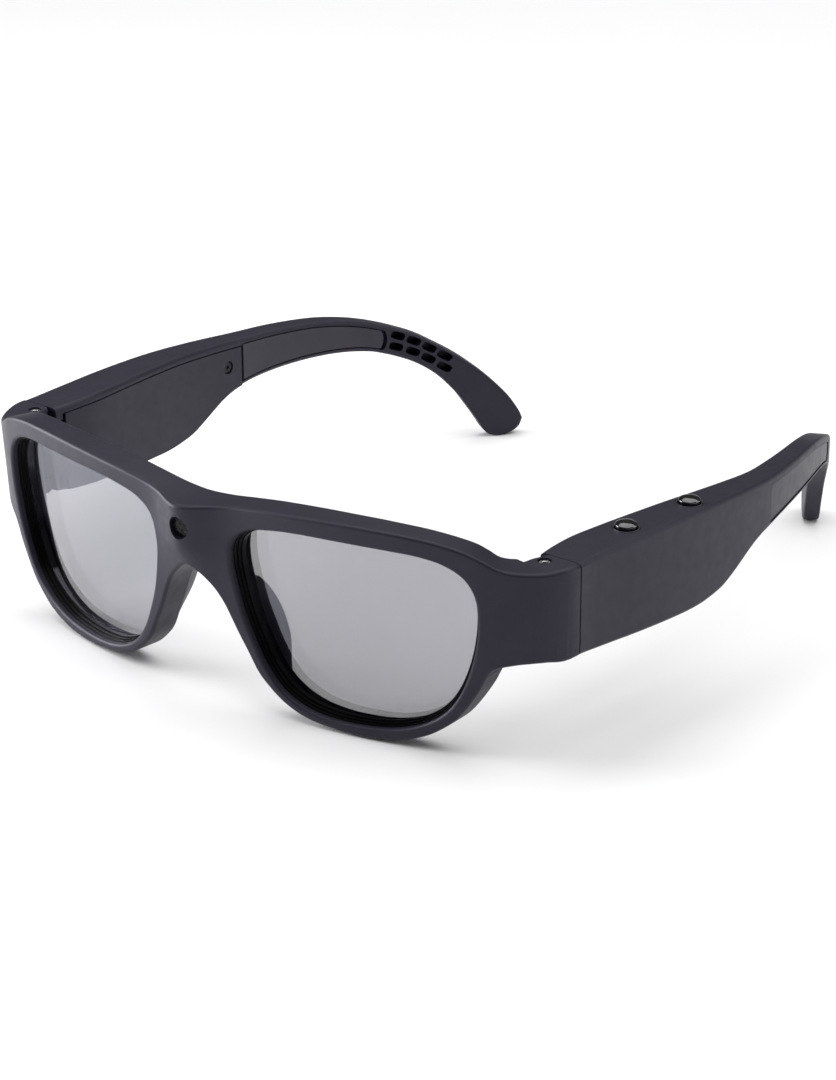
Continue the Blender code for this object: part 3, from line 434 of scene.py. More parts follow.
def cut_square(mesh, y, keep_behind):
    """Cut the mesh off at a plane across Y, close it, and round the new edge a little."""
    def change(bm):
        geom = list(bm.verts) + list(bm.edges) + list(bm.faces)
        out = bmesh.ops.bisect_plane(bm, geom=geom, plane_co=(0, y, 0), plane_no=(0, 1, 0), dist=0.0001,
                                     clear_inner=keep_behind, clear_outer=not keep_behind)
        rim = [e for e in out["geom_cut"] if isinstance(e, bmesh.types.BMEdge)]
        bmesh.ops.holes_fill(bm, edges=rim, sides=0)
        bmesh.ops.recalc_face_normals(bm, faces=bm.faces)
        rim = [e for e in bm.edges if all(abs(v.co.y - y) < 1e-4 for v in e.verts)
               and len(e.link_faces) == 2 and e.calc_face_angle(0) > 0.8]
        bmesh.ops.bevel(bm, geom=rim, offset=SEAM_EDGE_R, segments=2, affect="EDGES", profile=0.5,
                        clamp_overlap=True)
        bmesh.ops.triangulate(bm, faces=[f for f in bm.faces if len(f.verts) > 4])

    return edit(mesh, change)


def skin(bm, rings, closed=False):
    """Faces from each ring of vertices to the next, and from the last to the first if closed."""
    after = rings[1:] + rings[:1] if closed else rings[1:]
    for a, b in zip(rings, after):
        for k in range(len(a)):
            m = (k + 1) % len(a)
            bm.faces.new((a[k], a[m], b[m], b[k]))


def box(name, low, high, bevel=0.0):
    bm = bmesh.new()
    bmesh.ops.create_cube(bm, size=1.0)
    for v in bm.verts:
        v.co = [low[i] if v.co[i] < 0 else high[i] for i in range(3)]
    if bevel:
        bmesh.ops.bevel(bm, geom=list(bm.edges), offset=bevel, segments=3, affect="EDGES", profile=0.5)
    return from_bmesh(name, bm)


def turned(name, profile, centre, axis="Z", steps=64):
    """Solid of revolution; profile is (radius, height) from top to bottom on the outer side."""
    bm = bmesh.new()
    rings = []
    for r, h in profile:
        if r < 1e-6:
            rings.append([bm.verts.new((0, 0, h))])
        else:
            rings.append([bm.verts.new((r * math.cos(2 * math.pi * k / steps),
                                        r * math.sin(2 * math.pi * k / steps), h))
                          for k in range(steps)])
    for a, b in zip(rings[:-1], rings[1:]):
        for k in range(steps):
            n = (k + 1) % steps
            if len(a) == 1:
                bm.faces.new((a[0], b[k], b[n]))
            elif len(b) == 1:
                bm.faces.new((a[k], b[0], a[n]))
            else:
                bm.faces.new((a[k], b[k], b[n], a[n]))
    if len(rings[0]) > 1 and len(rings[-1]) > 1:
        if profile[0] == profile[-1]:
            bmesh.ops.remove_doubles(bm, verts=bm.verts, dist=0.0001)
        else:
            bm.faces.new(rings[0])
            bm.faces.new(rings[-1][::-1])
    bmesh.ops.recalc_face_normals(bm, faces=bm.faces)
    turn = {"Z": Matrix.Identity(4), "Y": Matrix.Rotation(math.radians(90), 4, "X")}[axis]
    bm.transform(Matrix.Translation(centre) @ turn)
    return from_bmesh(name, bm)


def boolean(target, cutter, operation="DIFFERENCE"):
    mod = target.modifiers.new("cut", "BOOLEAN")
    mod.operation = operation
    mod.solver = "EXACT"
    mod.object = cutter
    bpy.context.view_layer.update()
    graph = bpy.context.evaluated_depsgraph_get()
    mesh = bpy.data.meshes.new_from_object(target.evaluated_get(graph))
    target.modifiers.clear()
    target.data = mesh
    edit(mesh, lambda bm: bmesh.ops.dissolve_degenerate(bm, edges=bm.edges, dist=0.0001))
    return target


def joined(name, objects):
    """One object that holds several meshes which don't touch."""
    bm = bmesh.new()
    for obj in objects:
        bm.from_mesh(obj.data)
    return from_bmesh(name, bm)


def mirrored(source, name):
    mesh = source.data.copy()
    mesh.transform(Matrix.Diagonal((-1, 1, 1, 1)))
    mesh.flip_normals()
    return new_object(name, mesh)


def both_sides(obj):
    return joined(obj.name + "_pair", [obj, mirrored(obj, obj.name + "_other")])


SLOT_OF = {p["node"]: p["material_slot"] for p in frame["record"]["subparts"]}


def finish_piece(obj, mat, body, node, sharp_deg=38):
    """Lay a finished piece down in the row frame, give it its material, and tie it to its CAD node."""
    scratch.objects.unlink(obj)
    shown.objects.link(obj)
    obj.data.transform(PLACE)
    if len(obj.data.materials) < 2:
        obj.data.materials.clear()
        obj.data.materials.append(mat)
    obj.data.shade_smooth()
    obj.data.set_sharp_from_angle(angle=math.radians(sharp_deg))
    mod = obj.modifiers.new("even shading", "WEIGHTED_NORMAL")
    mod.keep_sharp = True
    mod.weight = 80
    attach(obj, body)
    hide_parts(node)


# ---------------------------------------------------------------- materials
def principled(name, roughness, metallic=0.0, **inputs):
    """A material with its node tree and shader; inputs are the shader's, with _ for a space."""
    mat = bpy.data.materials.new(name)
    mat.use_nodes = True
    shader = mat.node_tree.nodes["Principled BSDF"]
    shader.inputs["Roughness"].default_value = roughness
    shader.inputs["Metallic"].default_value = metallic
    for key, value in inputs.items():
        shader.inputs[key.replace("_", " ")].default_value = value
    return mat, mat.node_tree, shader


def noise(tree, scale, detail=3.0, stretch=(1, 1, 1)):
    """Noise in the object's own space, with scale in cycles per metre."""
    where = tree.nodes.new("ShaderNodeTexCoord")
    place = tree.nodes.new("ShaderNodeMapping")
    place.inputs["Scale"].default_value = stretch
    grain = tree.nodes.new("ShaderNodeTexNoise")
    grain.inputs["Scale"].default_value = scale
    grain.inputs["Detail"].default_value = detail
    tree.links.new(where.outputs["Object"], place.inputs["Vector"])
    tree.links.new(place.outputs["Vector"], grain.inputs["Vector"])
    return grain.outputs["Fac"]


NOISE_RANGE = (0.3, 0.7)  # where nearly all of the noise's values lie


def ramp(tree, fac, low, high):
    """A colour between low and high, by a noise value."""
    node = tree.nodes.new("ShaderNodeValToRGB")
    for element, position, colour in zip(node.color_ramp.elements, NOISE_RANGE, (low, high)):
        element.position = position
        element.color = (*colour, 1)
    tree.links.new(fac, node.inputs["Fac"])
    return node.outputs["Color"]


def spread(tree, fac, low, high):
    """A number between low and high, by a noise value."""
    node = tree.nodes.new("ShaderNodeMapRange")
    node.inputs["From Min"].default_value, node.inputs["From Max"].default_value = NOISE_RANGE
    node.inputs["To Min"].default_value = low
    node.inputs["To Max"].default_value = high
    tree.links.new(fac, node.inputs["Value"])
    return node.outputs["Result"]


def bump(tree, shader, height, distance, strength=1.0):
    node = tree.nodes.new("ShaderNodeBump")
    node.inputs["Distance"].default_value = distance
    node.inputs["Strength"].default_value = strength
    tree.links.new(height, node.inputs["Height"])
    tree.links.new(node.outputs["Normal"], shader.inputs["Normal"])


def moulded(name, colour, roughness, grain=3200.0, depth=0.000012, vary=0.10, **inputs):
    """Moulded plastic with a fine grain, of so many cycles per metre and a depth in metres."""
    mat, tree, shader = principled(name, roughness, **inputs)
    cloud = noise(tree, 130.0)
    low = [c * (1 - vary) for c in colour]
    high = [c * (1 + vary) for c in colour]
    tree.links.new(ramp(tree, cloud, low, high), shader.inputs["Base Color"])
    tree.links.new(spread(tree, noise(tree, 420.0), roughness - 0.04, roughness + 0.04),
                   shader.inputs["Roughness"])
    bump(tree, shader, noise(tree, grain, 2.0), depth, 0.6)
    return mat


def metal(name, colour, roughness, stretch=(1, 1, 1), scale=2500.0, depth=0.000004):
    """Metal with fine machining or polishing marks, of scale cycles per metre and a depth in metres."""
    mat, tree, shader = principled(name, roughness, metallic=1.0)
    marks = noise(tree, scale, 3.0, stretch)
    tree.links.new(ramp(tree, marks, [c * 0.9 for c in colour], [min(1, c * 1.08) for c in colour]),
                   shader.inputs["Base Color"])
    tree.links.new(spread(tree, marks, roughness * 0.8, roughness * 1.25), shader.inputs["Roughness"])
    bump(tree, shader, marks, depth, 0.4)
    return mat


def tinted(name, colour, alpha, roughness, metallic):
    """A thin see-through sheet with a half-mirror coat; alpha is what one face holds back."""
    mat, tree, shader = principled(name, roughness, metallic=metallic, Alpha=alpha)
    cloud = noise(tree, 60.0)
    tree.links.new(ramp(tree, cloud, [c * 0.985 for c in colour], [c * 1.015 for c in colour]),
                   shader.inputs["Base Color"])
    tree.links.new(spread(tree, cloud, roughness * 0.8, roughness * 1.2), shader.inputs["Roughness"])
    return mat


MATERIALS = {
    "matt_black_plastic": moulded("matt_black_plastic", (0.014, 0.013, 0.023), 0.46,
                                  Specular_IOR_Level=0.30, Specular_Tint=(0.9, 0.87, 1.0, 1)),
    # near-black material for the lens seat's steps: painted shade for the shadowed groove round each lens
    "lens_seat_painted_shade": moulded("lens_seat_painted_shade", (0.0012, 0.0012, 0.0016), 0.35, Specular_IOR_Level=0.10),
    "satin_black_plastic": moulded("satin_black_plastic", (0.024, 0.023, 0.032), 0.42,
                                   Specular_IOR_Level=0.4, Specular_Tint=(0.92, 0.9, 1.0, 1)),
    "mirror_grey_lens": tinted("mirror_grey_lens", (0.205, 0.205, 0.242), 0.50, 0.04, 1.0),
    "clear_window": tinted("clear_window", (0.004, 0.004, 0.005), 0.2, 0.03, 0.0),
    "dark_chrome": metal("dark_chrome", (0.10, 0.10, 0.105), 0.08, scale=900.0, depth=0.000001),
    "dark_steel": metal("dark_steel", (0.035, 0.035, 0.038), 0.42),
    "pin_steel": metal("pin_steel", (0.42, 0.42, 0.43), 0.28),
    "circuit_board": moulded("circuit_board", (0.012, 0.075, 0.03), 0.38, 1500.0, 0.00002, 0.25),
    "shield_can": metal("shield_can", (0.55, 0.55, 0.56), 0.28, (1, 12, 1)),
    "moulded_chip": moulded("moulded_chip", (0.006, 0.006, 0.007), 0.3, 5000.0, Specular_IOR_Level=0.3),
    "flex_amber": moulded("flex_amber", (0.42, 0.17, 0.03), 0.32, 900.0, 0.00001, 0.12),
    "battery_wrap": moulded("battery_wrap", (0.17, 0.18, 0.21), 0.30, 700.0, 0.00004, 0.12),
    "gold_contact": metal("gold_contact", (0.78, 0.55, 0.20), 0.22),
}

# ---------------------------------------------------------------- front frame
def whole_line(half):
    """A smooth line across both sides, from the half that starts on the mid-plane."""
    other = [(-u, z) for u, z in reversed(half[1:])]
    return open_spline(other + half, FINE)


top_half = [(arc(x), z) for x, z in TOP_LINE]
top_half += [(U_END - 3.0, END_TOP_Z + 0.1), (U_END + PAST_SEAM, END_TOP_Z)]
bottom_half = [(arc(x), z) for x, z in BOTTOM_LINE][::-1]
bottom_half += [(U_END - 4.0, END_BOTTOM_Z), (U_END + PAST_SEAM, END_BOTTOM_Z)]
front_outline = np.vstack([whole_line(top_half), whole_line(bottom_half)[::-1]])
opening = np.array([(arc(x), z) for x, z in closed_spline(OPENING, FINE)])
other_opening = np.c_[-opening[:, 0], opening[:, 1]]


def gap_to(line, p):
    """Distance from each point to a closed outline."""
    a = line[None, :, :]
    run = np.roll(line, -1, 0)[None, :, :] - a
    t = np.clip(np.sum((p[:, None, :] - a) * run, axis=2) / np.sum(run**2, axis=2), 0, 1)
    return np.linalg.norm(a + run * t[:, :, None] - p[:, None, :], axis=2).min(axis=1)


def front_scaled(p):
    """The front's space, with the depth stated for the thick middle of the front."""
    q = np.array(p, dtype=float)
    u = np.abs(q[:, 0])
    q[:, 1] *= front_t(u) / FRONT_T_REF
    out = front_map(q)
    # the outer walls of the rims run straight back, not square to the curved face
    gap = gap_to(opening, np.c_[u, q[:, 2]])
    straight = rise(q[:, 2], WALL_Z) * rise(u, WALL_U) * rise(gap, WALL_GAP)
    out[:, 0] += np.sign(q[:, 0]) * straight * q[:, 1] * np.interp(u, PLAN_U, TANGENT_Y)
    return out


mesh = flat_solid("front", [front_outline, opening, other_opening], FRONT_T_REF, FRONT_EDGE_R)
slice_caps(mesh, [s * u for u in np.arange(BEND_STEP / 2, U_END + 2, BEND_STEP) for s in (-1, 1)])
slice_caps(mesh, np.arange(-12.0, 4.0, 1.3), axis=2, reach=15.0)
apply_map(mesh, front_scaled)
cut_square(mesh, SEAM_Y, keep_behind=False)
front = new_object("front_frame_fine", mesh)


def front_solid(name, line, d0, d1):
    """A solid with the outline line, (u, z), between two depths behind the face."""
    mesh = flat_solid(name, [line], 1.0)
    us = np.asarray(line)[:, 0]
    slice_caps(mesh, np.arange(min(us) + BEND_STEP / 2, max(us), BEND_STEP))

    def mapping(p):
        q = np.array(p, dtype=float)
        u = np.abs(q[:, 0])
        q[:, 1] = d0(u) + q[:, 1] * (d1(u) - d0(u))
        return front_map(q)

    apply_map(mesh, mapping)
    return new_object(name, mesh)


def seat_steps(name):
    """A ring of fine steps round the lens opening, from near the face back to the lens."""
    in_wall = 0.5
    first = STEP_DEPTHS[0]
    section = [(in_wall, first), (-STEP_IN, first)]
    for k, depth in enumerate(STEP_DEPTHS[1:], 1):
        section += [(-STEP_IN * k, depth), (-STEP_IN * (k + 1), depth)]
    section += [(-STEP_IN * len(STEP_DEPTHS), None), (in_wall, None)]
    bm = bmesh.new()
    loops = []
    for outwards, depth in section:
        line = offset(opening, outwards)
        if depth is None:
            d = lens_depth(line[:, 0]) - 0.1
        else:
            d = np.full(len(line), depth)
        loops.append([bm.verts.new(co) for co in front_map(np.c_[line[:, 0], d, line[:, 1]])])
    skin(bm, loops, closed=True)
    bmesh.ops.recalc_face_normals(bm, faces=bm.faces)
    return from_bmesh(name, bm)


# the lower outline beside the nose, as x by height
bottom_nose = smooth(sorted([(z, x) for x, z in BOTTOM_LINE if x < 24 and z < -9.9]))


def nose_pad(name):
    """One moulded pad: a loft from inside the rim back to the pad's rounded rear edge."""
    bm = bmesh.new()
    rings = []
    for t in np.linspace(0.0, 1.0, 37):
        z = PAD_TOP_Z - PAD_HEIGHT * t
        swell = math.sin(math.pi * (0.06 + 0.9 * t)) ** 0.7
        x0 = arc(float(bottom_nose(z)))
        rear = 6.2 + 3.6 * swell + 3.0 * (1 - t)
        flare = 1.6 * swell
        outer = [(x0 + 0.5, 2.5), (x0 + 0.35, 5.0), (x0 + 0.5 + 0.5 * flare, 0.5 * rear + 2.5),
                 (x0 + 0.9 + flare, rear - 0.5), (x0 + 1.5 + flare, rear), (x0 + 2.2 + flare, rear - 0.3),
                 (x0 + 2.3 + 0.6 * flare, 0.5 * rear + 2.5), (x0 + 2.1, 5.0), (x0 + 2.0, 2.5)]
        rings.append([bm.verts.new((u, d, z)) for u, d in open_spline(outer, 3)])
    skin(bm, rings)
    bm.faces.new(rings[0])
    bm.faces.new(rings[-1][::-1])
    bmesh.ops.recalc_face_normals(bm, faces=bm.faces)
    pad = from_bmesh(name, bm)
    apply_map(pad.data, front_map)
    return pad


def upright_prism(name, line, z0, z1):
    """An outline in plan, (x, y), extruded from z0 to z1."""
    mesh = flat_solid(name, [line], z1 - z0)
    mesh.transform(Matrix(((1, 0, 0, 0), (0, 0, 1, 0), (0, 1, 0, z0), (0, 0, 0, 1))))
    edit(mesh, lambda bm: bmesh.ops.recalc_face_normals(bm, faces=bm.faces))
    return new_object(name, mesh)


boolean(front, both_sides(nose_pad("nose_pad")), "UNION")
steps = both_sides(seat_steps("seat_steps"))
for obj in (front, steps):
    obj.data.materials.append(MATERIALS["matt_black_plastic"])
    obj.data.materials.append(MATERIALS["lens_seat_painted_shade"])
# the seat's steps take the near-black material, which paints the shade that falls in the lens groove
for face in steps.data.polygons:
    face.material_index = 1
boolean(front, steps, "UNION")
groove = front_solid("lens_groove", offset(opening, GROOVE_DEPTH), lambda u: lens_depth(u) - 0.2,
                     lambda u: lens_depth(u) + LENS_T + 0.2)
boolean(front, both_sides(groove))

# camera bore with a small lead-in, cavity and cover seat in the bridge
bore = turned("camera_bore", [(3.2, 6.0), (3.2, 0.62), (CAMERA_HOLE_R + 0.12, -0.02), (CAMERA_HOLE_R, -0.3),
                              (CAMERA_HOLE_R, -6)],
              (0, BORE_Y, CAMERA_Z), "Y")
for tool in (bore, box("camera_cavity", *CAVITY_BOX), box("bridge_cover_seat", *COVER_SEAT_BOX)):
    boolean(front, tool)

# hinge forks: a slot for the lug, a round inner corner, room for the fold, and the pin's bores
slot_line = [(60, 4), (60, -SLOT_R)]
slot_line += [(HINGE_X + SLOT_R * math.sin(math.pi * k / 32), -SLOT_R * math.cos(math.pi * k / 32))
              for k in range(17)]
slot_line += [(HINGE_X + SLOT_R, 4)]
on_hinge = (HINGE_X, 0, 0)
corner = box("corner_cut", *CORNER_BOX)
boolean(corner, turned("corner_keep", [(CORNER_R, 5), (CORNER_R, -27)], on_hinge, steps=96))
hinge_tools = [upright_prism("hinge_slot", slot_line, *SLOT_Z), corner, box("fold_relief", *RELIEF_BOX),
               turned("pin_bore", [(PIN_BORE_R, 2), (PIN_BORE_R, -21)], on_hinge, steps=32),
               turned("head_bore", [(1.9, 3), (1.9, -0.2), (PIN_HEAD_BORE_R, -0.62),
                                    (PIN_HEAD_BORE_R, -1.8)], on_hinge)]
for tool in hinge_tools:
    boolean(front, both_sides(tool))
finish_piece(front, MATERIALS["matt_black_plastic"], "front", "front_frame")

# lenses: curved sheets
lens = front_solid("lens_right_fine", offset(opening, GROOVE_DEPTH - LENS_GAP), lens_depth,
                   lambda u: lens_depth(u) + LENS_T)
finish_piece(mirrored(lens, "lens_left_fine"), MATERIALS["mirror_grey_lens"], "front", "lens_left")
finish_piece(lens, MATERIALS["mirror_grey_lens"], "front", "lens_right")

# bridge cover, camera window and barrel
finish_piece(box("bridge_rear_cover_fine", *BRIDGE_COVER_BOX, 0.3),
             MATERIALS["satin_black_plastic"], "front", "bridge_rear_cover")
window = [(0.0, 0.25), (2.1, 0.25), (2.2, 0.15), (2.2, -0.15), (2.1, -0.25), (0.0, -0.25)]
finish_piece(turned("camera_window_fine", window, (0, WINDOW_Y, CAMERA_Z), "Y"),
             MATERIALS["clear_window"], "front", "camera_window")
barrel = [(0.0, 1.42), (0.25, 1.4), (0.5, 1.33), (0.72, 1.2), (0.85, 1.1), (0.95, 1.1), (1.0, 1.2),
          (1.25, 1.45), (1.3, 1.7), (1.55, 1.95), (1.65, 2.0), (1.9, 2.0), (2.0, 1.9), (2.0, -0.2),
          (2.8, -0.2), (2.9, -0.3), (2.9, -3.0), (0.0, -3.0)]
finish_piece(turned("camera_barrel_fine", barrel, (0, BARREL_Y, CAMERA_Z), "Y"),
             MATERIALS["moulded_chip"], "front", "camera_barrel", 30)

# hinge pins: round heads with a bevelled rim and a deep socket
pin_profile = [(0.0, -1.95), (0.62, -1.95), (0.62, -1.12), (0.72, -1.02), (1.12, -1.0), (1.22, -1.06),
               (PIN_HEAD_R, -1.15), (PIN_HEAD_R, -1.75), (PIN_R, -1.75), (PIN_R, -18.2), (0.7, -18.3),
               (0.0, -18.3)]
pin = turned("hinge_pin_right_fine", pin_profile, on_hinge, "Z", 48)
finish_piece(mirrored(pin, "hinge_pin_left_fine"), MATERIALS["pin_steel"], "front", "hinge_pin_left", 30)
finish_piece(pin, MATERIALS["pin_steel"], "front", "hinge_pin_right", 30)

# ---------------------------------------------------------------- temples
upper = open_spline([(TEMPLE_Y - PAST_SEAM, TEMPLE_TOP[0][1])] + TEMPLE_TOP + TEMPLE_TIP[:1], FINE)[:-1]
tip = open_spline(TEMPLE_TIP, FINE)
lower = open_spline(TEMPLE_TIP[-1:] + TEMPLE_BOTTOM + [(TEMPLE_Y - PAST_SEAM, TEMPLE_BOTTOM[-1][1] + 0.25)],
                    FINE)[1:]
mesh = flat_solid("temple", [np.vstack([upper, tip, lower])], TEMPLE_T, TEMPLE_EDGE_R)
slice_caps(mesh, np.arange(0.5, 143.0, TEMPLE_BEND_STEP))
apply_map(mesh, temple_scaled)
cut_square(mesh, TEMPLE_Y, keep_behind=True)
shell = new_object("temple_shell_right_fine", mesh)


def strip(y0, y1, top_inset, bottom_inset, round_end=0.0):
    """Outline between the temple's top and bottom edges, from y0 to y1, with a rounded rear end."""
    ys = list(np.linspace(y0, y1, max(2, int((y1 - y0) / TEMPLE_BEND_STEP) + 1)))
    above = [(y, float(top_line(y)) - top_inset) for y in ys]
    below = [(y, float(bottom_line(y)) + bottom_inset) for y in ys]
    end = []
    if round_end:
        a = np.array(above[-1])
        b = np.array(below[-1])
        middle = (a + b) / 2
        for k in range(1, 16):
            angle = math.pi * k / 16
            along = (a - middle) * math.cos(angle)
            end.append((middle[0] + along[0] + round_end * math.sin(angle), middle[1] + along[1]))
    return above + end + below[::-1]


def temple_piece(name, line, w0, w1, edge_r=0.0, depth=1.0):
    """A sheet that follows the temple, between the depths w0 and w1 from its outer face.

    The depths are numbers or functions of y.  edge_r is true to size when depth is w1 - w0.
    """
    mesh = flat_solid(name, [line], depth, edge_r, 2)
    ys = [p[0] for p in line]
    slice_caps(mesh, np.arange(min(ys) + 1.0, max(ys) - 0.5, TEMPLE_BEND_STEP))

    def mapping(p):
        q = np.array(p, dtype=float)
        y = q[:, 0]
        a = w0(y) if callable(w0) else w0
        b = w1(y) if callable(w1) else w1
        q[:, 1] = a + q[:, 1] / depth * (b - a)
        return temple_map(q)

    return new_object(name, apply_map(mesh, mapping))


def t_minus(depth):
    """The temple's thickness less a depth, as a function of y."""
    return lambda y: temple_t(y) - depth


def temple_cylinder(name, y, z, w0, w1, r, steps=48):
    """A cylinder square to the temple's face."""
    a, b = temple_map([(y, w0, z), (y, w1, z)])
    axis = Vector(b) - Vector(a)
    turn = axis.to_track_quat("Z", "Y").to_matrix().to_4x4()
    bm = bmesh.new()
    bmesh.ops.create_cone(bm, cap_ends=True, segments=steps, radius1=r, radius2=r, depth=axis.length)
    bm.transform(Matrix.Translation((Vector(a) + Vector(b)) / 2) @ turn)
    return from_bmesh(name, bm)


def slot_line_at(y, z):
    """A slot with round corners, lying along the temple's top edge."""
    lean = math.atan2(float(top_line(y + 2) - top_line(y - 2)), 4.0)
    along, across = math.cos(lean), math.sin(lean)
    squareness = 0.55
    line = []
    for k in range(32):
        angle = 2 * math.pi * (k + 0.5) / 32
        a = math.copysign(abs(math.cos(angle)) ** squareness, math.cos(angle)) * SLOT_LONG / 2
        b = math.copysign(abs(math.sin(angle)) ** squareness, math.sin(angle)) * SLOT_WIDE / 2
        line.append((y + a * along - b * across, z + a * across + b * along))
    return line


past_inner = t_minus(-OVERCUT)
cavity = temple_piece("temple_cavity", strip(4.8, 68.3, WALL, WALL), WALL, past_inner)
cover_seat = temple_piece("cover_seat", strip(5.2, 70.5, 1.5, -1.5), t_minus(COVER_T + COVER_PLAY),
                          past_inner)
inner_seat = temple_piece("inner_panel_seat", strip(70.4, PANEL_END_Y, 1.1, 0.9, round_end=1.3),
                          t_minus(PANEL_T + PANEL_PLAY), past_inner)
outer_seat = temple_piece("outer_panel_seat", strip(REAR_SEAM_Y - 0.2, PANEL_END_Y, 1.7, 0.8, round_end=1.6),
                          -OVERCUT, PANEL_T + PANEL_PLAY)
lug_window = box("lug_window", (60, 2, SLOT_Z[0]), (HINGE_X + SLOT_R, 6, SLOT_Z[1]))
slots = joined("tip_slots", [temple_piece("tip_slot", slot_line_at(y, z), SLOT_FLOOR, past_inner)
                             for y, z in TIP_SLOTS])
for tool in (cavity, cover_seat, inner_seat, outer_seat, lug_window, slots):
    boolean(shell, tool)

# screw bosses on the inside of the outer wall, and their pilot holes
t_screw = float(temple_t(COVER_SCREW[0]))
bosses = joined("bosses", [temple_cylinder("lug_boss", *LUG_SCREW, 1.2, 3.9, BOSS_R),
                           temple_cylinder("cover_boss", *COVER_SCREW, 1.2, t_screw - COVER_T - 0.3, BOSS_R)])
pilots = joined("pilots", [temple_cylinder("lug_pilot", *LUG_SCREW, 1.8, 5.0, PILOT_R),
                           temple_cylinder("cover_pilot", *COVER_SCREW, 2.2, 8.0, PILOT_R)])
boolean(shell, bosses, "UNION")
boolean(shell, pilots)
shell_left = mirrored(shell, "temple_shell_left_fine")

# buttons: glossy domes in thin rings, through the +X temple's top wall
for label, y in BUTTONS:
    zt = float(top_line(y))
    cx, cy, _ = temple_map([(y, float(temple_t(y)) / 2, 0)])[0]
    hole = [(RING_R + 0.1, zt + 3), (RING_R + 0.1, zt - RING_SEAT_DEPTH),
            (BUTTON_BORE_R, zt - RING_SEAT_DEPTH), (BUTTON_BORE_R, zt - 3)]
    boolean(shell, turned("button_hole", hole, (cx, cy, 0)))
    dome = [(BUTTON_R * math.sin(a), zt + BUTTON_LIFT + DOME_H * math.cos(a) ** 0.75)
            for a in np.linspace(0, math.pi / 2, 24)]
    dome += [(BUTTON_R, zt - 2.1), (BUTTON_FLANGE_R, zt - 2.1), (BUTTON_FLANGE_R, zt - 2.7),
             (0.8, zt - 2.7), (0.8, zt - 3.7), (0.0, zt - 3.7)]
    finish_piece(turned("button_" + label + "_fine", dome, (cx, cy, 0)), MATERIALS["dark_chrome"],
                 "button_" + label, "button_" + label, 30)
    ring = [(RING_R, zt + 0.03), (RING_R - 0.04, zt + 0.1), (RING_R - 0.12, zt + 0.14),
            (BUTTON_BORE_R + 0.1, zt + 0.12), (BUTTON_BORE_R + 0.05, zt + 0.05),
            (BUTTON_BORE_R + 0.05, zt - 0.62), (RING_R, zt - 0.62), (RING_R, zt + 0.03)]
    finish_piece(turned("button_ring_" + label + "_fine", ring, (cx, cy, 0)),
                 MATERIALS["satin_black_plastic"], "temple_right", "button_ring_" + label, 30)
finish_piece(shell, MATERIALS["matt_black_plastic"], "temple_right", "temple_shell_right")
finish_piece(shell_left, MATERIALS["matt_black_plastic"], "temple_left", "temple_shell_left")

# inner covers, with the screw's counterbore, and the window for the charging contact on one side
cover = temple_piece("inner_cover_right_fine", strip(5.5, 70.15, 1.75, 0.0), t_minus(COVER_T), t_minus(0.0),
                     0.15, COVER_T)
boolean(cover, temple_cylinder("cover_counterbore", *COVER_SCREW, t_screw - 0.95, t_screw + OVERCUT,
                               1.55))
boolean(cover, temple_cylinder("cover_hole", *COVER_SCREW, t_screw - 3, t_screw + 1, 0.85))
finish_piece(mirrored(cover, "inner_cover_left_fine"), MATERIALS["matt_black_plastic"], "temple_left",
             "inner_cover_left")
window_line = [(CONTACT[0] + a * CONTACT_HALF[0], CONTACT[1] + b * CONTACT_HALF[1])
               for a, b in ((-1, -1), (1, -1), (1, 1), (-1, 1))]
boolean(cover, temple_piece("contact_window", window_line, t_minus(3.0), past_inner))
finish_piece(cover, MATERIALS["matt_black_plastic"], "temple_right", "inner_cover_right")

# the two panels of each temple's thin rear part
inner_panel = temple_piece("rear_inner_panel_right_fine",
                           strip(70.7, PANEL_END_Y - 0.8, 1.35, 1.15, round_end=1.1),
                           t_minus(PANEL_T), t_minus(0.0), 0.12, PANEL_T)
outer_panel = temple_piece("rear_outer_panel_right_fine",
                           strip(REAR_SEAM_Y + 0.1, PANEL_END_Y - 0.3, 1.9, 1.0, round_end=1.4),
                           0.2, PANEL_T, 0.12, PANEL_T)


def screw(name, y, z, w_top, head_t, w_end):
    """A flat-headed screw with a hexagon socket."""
    body = temple_cylinder(name, y, z, w_top - head_t, w_top, 1.25)
    boolean(body, temple_cylinder("shank", y, z, w_end, w_top - head_t + 0.1, 0.6), "UNION")
    boolean(body, temple_cylinder("socket", y, z, w_top - 0.35, w_top + 1, 0.5, steps=6))
    return body


cover_screw = screw("cover_screw_right_fine", *COVER_SCREW, t_screw - 0.4, 0.5, 2.6)
for obj, slot in ((inner_panel, "satin_black_plastic"), (outer_panel, "satin_black_plastic"),
                  (cover_screw, "dark_steel")):
    node = obj.name.replace("_fine", "")
    other = node.replace("_right", "_left")
    finish_piece(mirrored(obj, other + "_fine"), MATERIALS[slot], "temple_left", other)
    finish_piece(obj, MATERIALS[slot], "temple_right", node)

# ---------------------------------------------------------------- pieces kept as the CAD has them
for name, node in frame["nodes"].items():
    if not node.hide_render:
        node.data.materials.clear()
        node.data.materials.append(MATERIALS[SLOT_OF[name]])

for obj in list(scratch.objects):
    bpy.data.objects.remove(obj)

# ---------------------------------------------------------------- floor, light and camera
bpy.ops.mesh.primitive_plane_add(size=8.0, location=(0, 0, -0.0002))
floor = bpy.context.object
floor.name = "floor"
paper, paper_tree, paper_shader = principled("pale_floor", 0.6)
paper_tree.links.new(ramp(paper_tree, noise(paper_tree, 3.0), (0.88, 0.88, 0.885), (0.9, 0.9, 0.905)),
                     paper_shader.inputs["Base Color"])
floor.data.materials.append(paper)

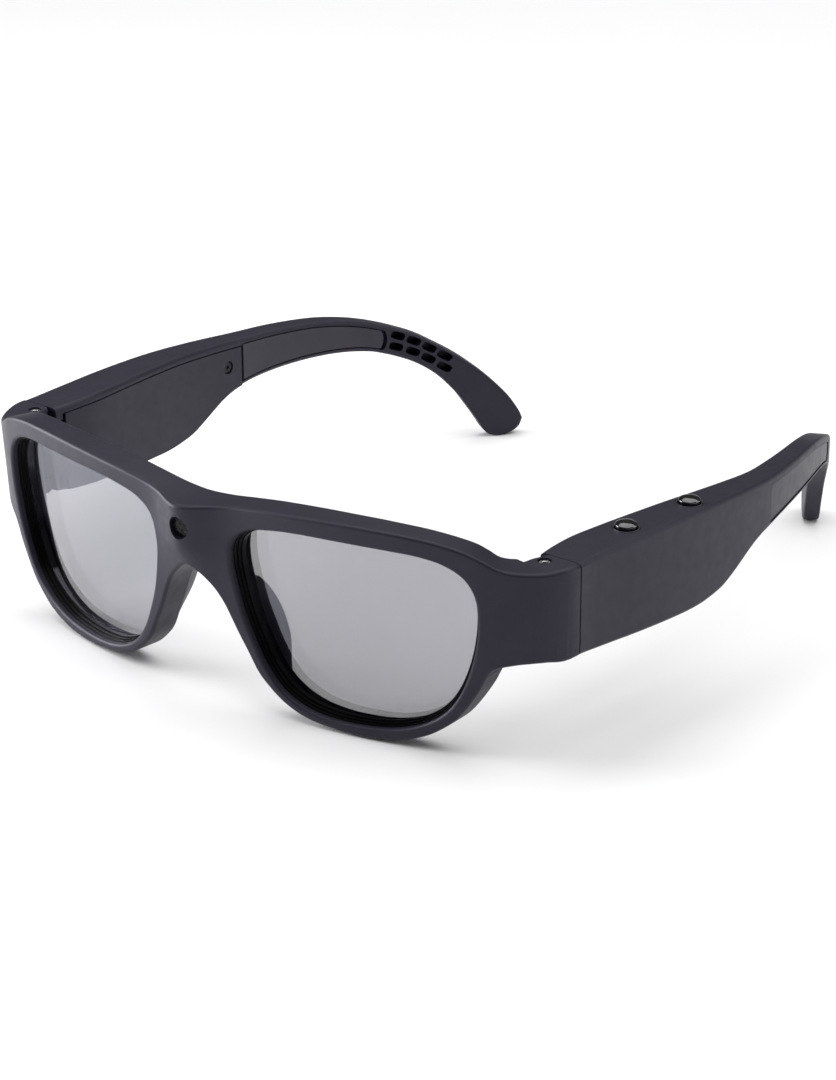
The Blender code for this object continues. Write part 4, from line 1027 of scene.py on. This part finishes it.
world = bpy.data.worlds.new("studio")
bpy.context.scene.world = world
world.use_nodes = True
sky = world.node_tree.nodes["Background"]
sky.inputs["Color"].default_value = (1.0, 1.0, 1.0, 1)
sky.inputs["Strength"].default_value = 0.12


def softbox(name, place, aim, size, power):
    """A rectangular light at place, facing aim, in metres and watts."""
    light = bpy.data.lights.new(name, "AREA")
    light.shape = "RECTANGLE"
    light.size, light.size_y = size
    light.energy = power
    obj = bpy.data.objects.new(name, light)
    bpy.context.scene.collection.objects.link(obj)
    obj.location = place
    obj.rotation_euler = (Vector(aim) - Vector(place)).to_track_quat("-Z", "Y").to_euler()


softbox("top_box", place=(0.0, 0.4, 2.4), aim=(0, 0.4, 0), size=(4.0, 4.0), power=106.0)
softbox("left_box", place=(-0.42, -0.26, 0.12), aim=(-0.06, -0.06, 0.02), size=(0.3, 0.3), power=3.6)
softbox("right_back_box", place=(0.6, 0.45, 0.3), aim=(0.06, 0.02, 0.02), size=(0.5, 0.5), power=1.5)

# the camera stands in front, to the wearer's left and above, and looks down between the temples;
# its angles, target and distance are in the design frame
AZIMUTH = math.radians(37.61)
ELEVATION = math.radians(23.45)
ROLL = math.radians(0.297)
TARGET = Vector((13.12, 30.70, -21.04))
DISTANCE = 613.09
SENSOR = 36.0
LENS = 97.2667
back = Vector((math.sin(AZIMUTH) * math.cos(ELEVATION), -math.cos(AZIMUTH) * math.cos(ELEVATION),
               math.sin(ELEVATION)))
right = Vector((math.cos(AZIMUTH), math.sin(AZIMUTH), 0))
down = (-back).cross(right)
image_x = right * math.cos(ROLL) + down * math.sin(ROLL)
image_up = right * math.sin(ROLL) - down * math.cos(ROLL)
turn = PLACE.to_3x3() * 1000.0
axes = Matrix((turn @ image_x, turn @ image_up, turn @ back)).transposed()
camera = bpy.data.objects.new("camera", bpy.data.cameras.new("camera"))
bpy.context.scene.collection.objects.link(camera)
camera.matrix_world = Matrix.Translation(PLACE @ (TARGET + back * DISTANCE)) @ axes.to_4x4()
camera.data.sensor_width = SENSOR
camera.data.lens = LENS
camera.data.clip_start = 0.01
bpy.context.scene.camera = camera
bpy.context.scene.view_settings.view_transform = "Standard"
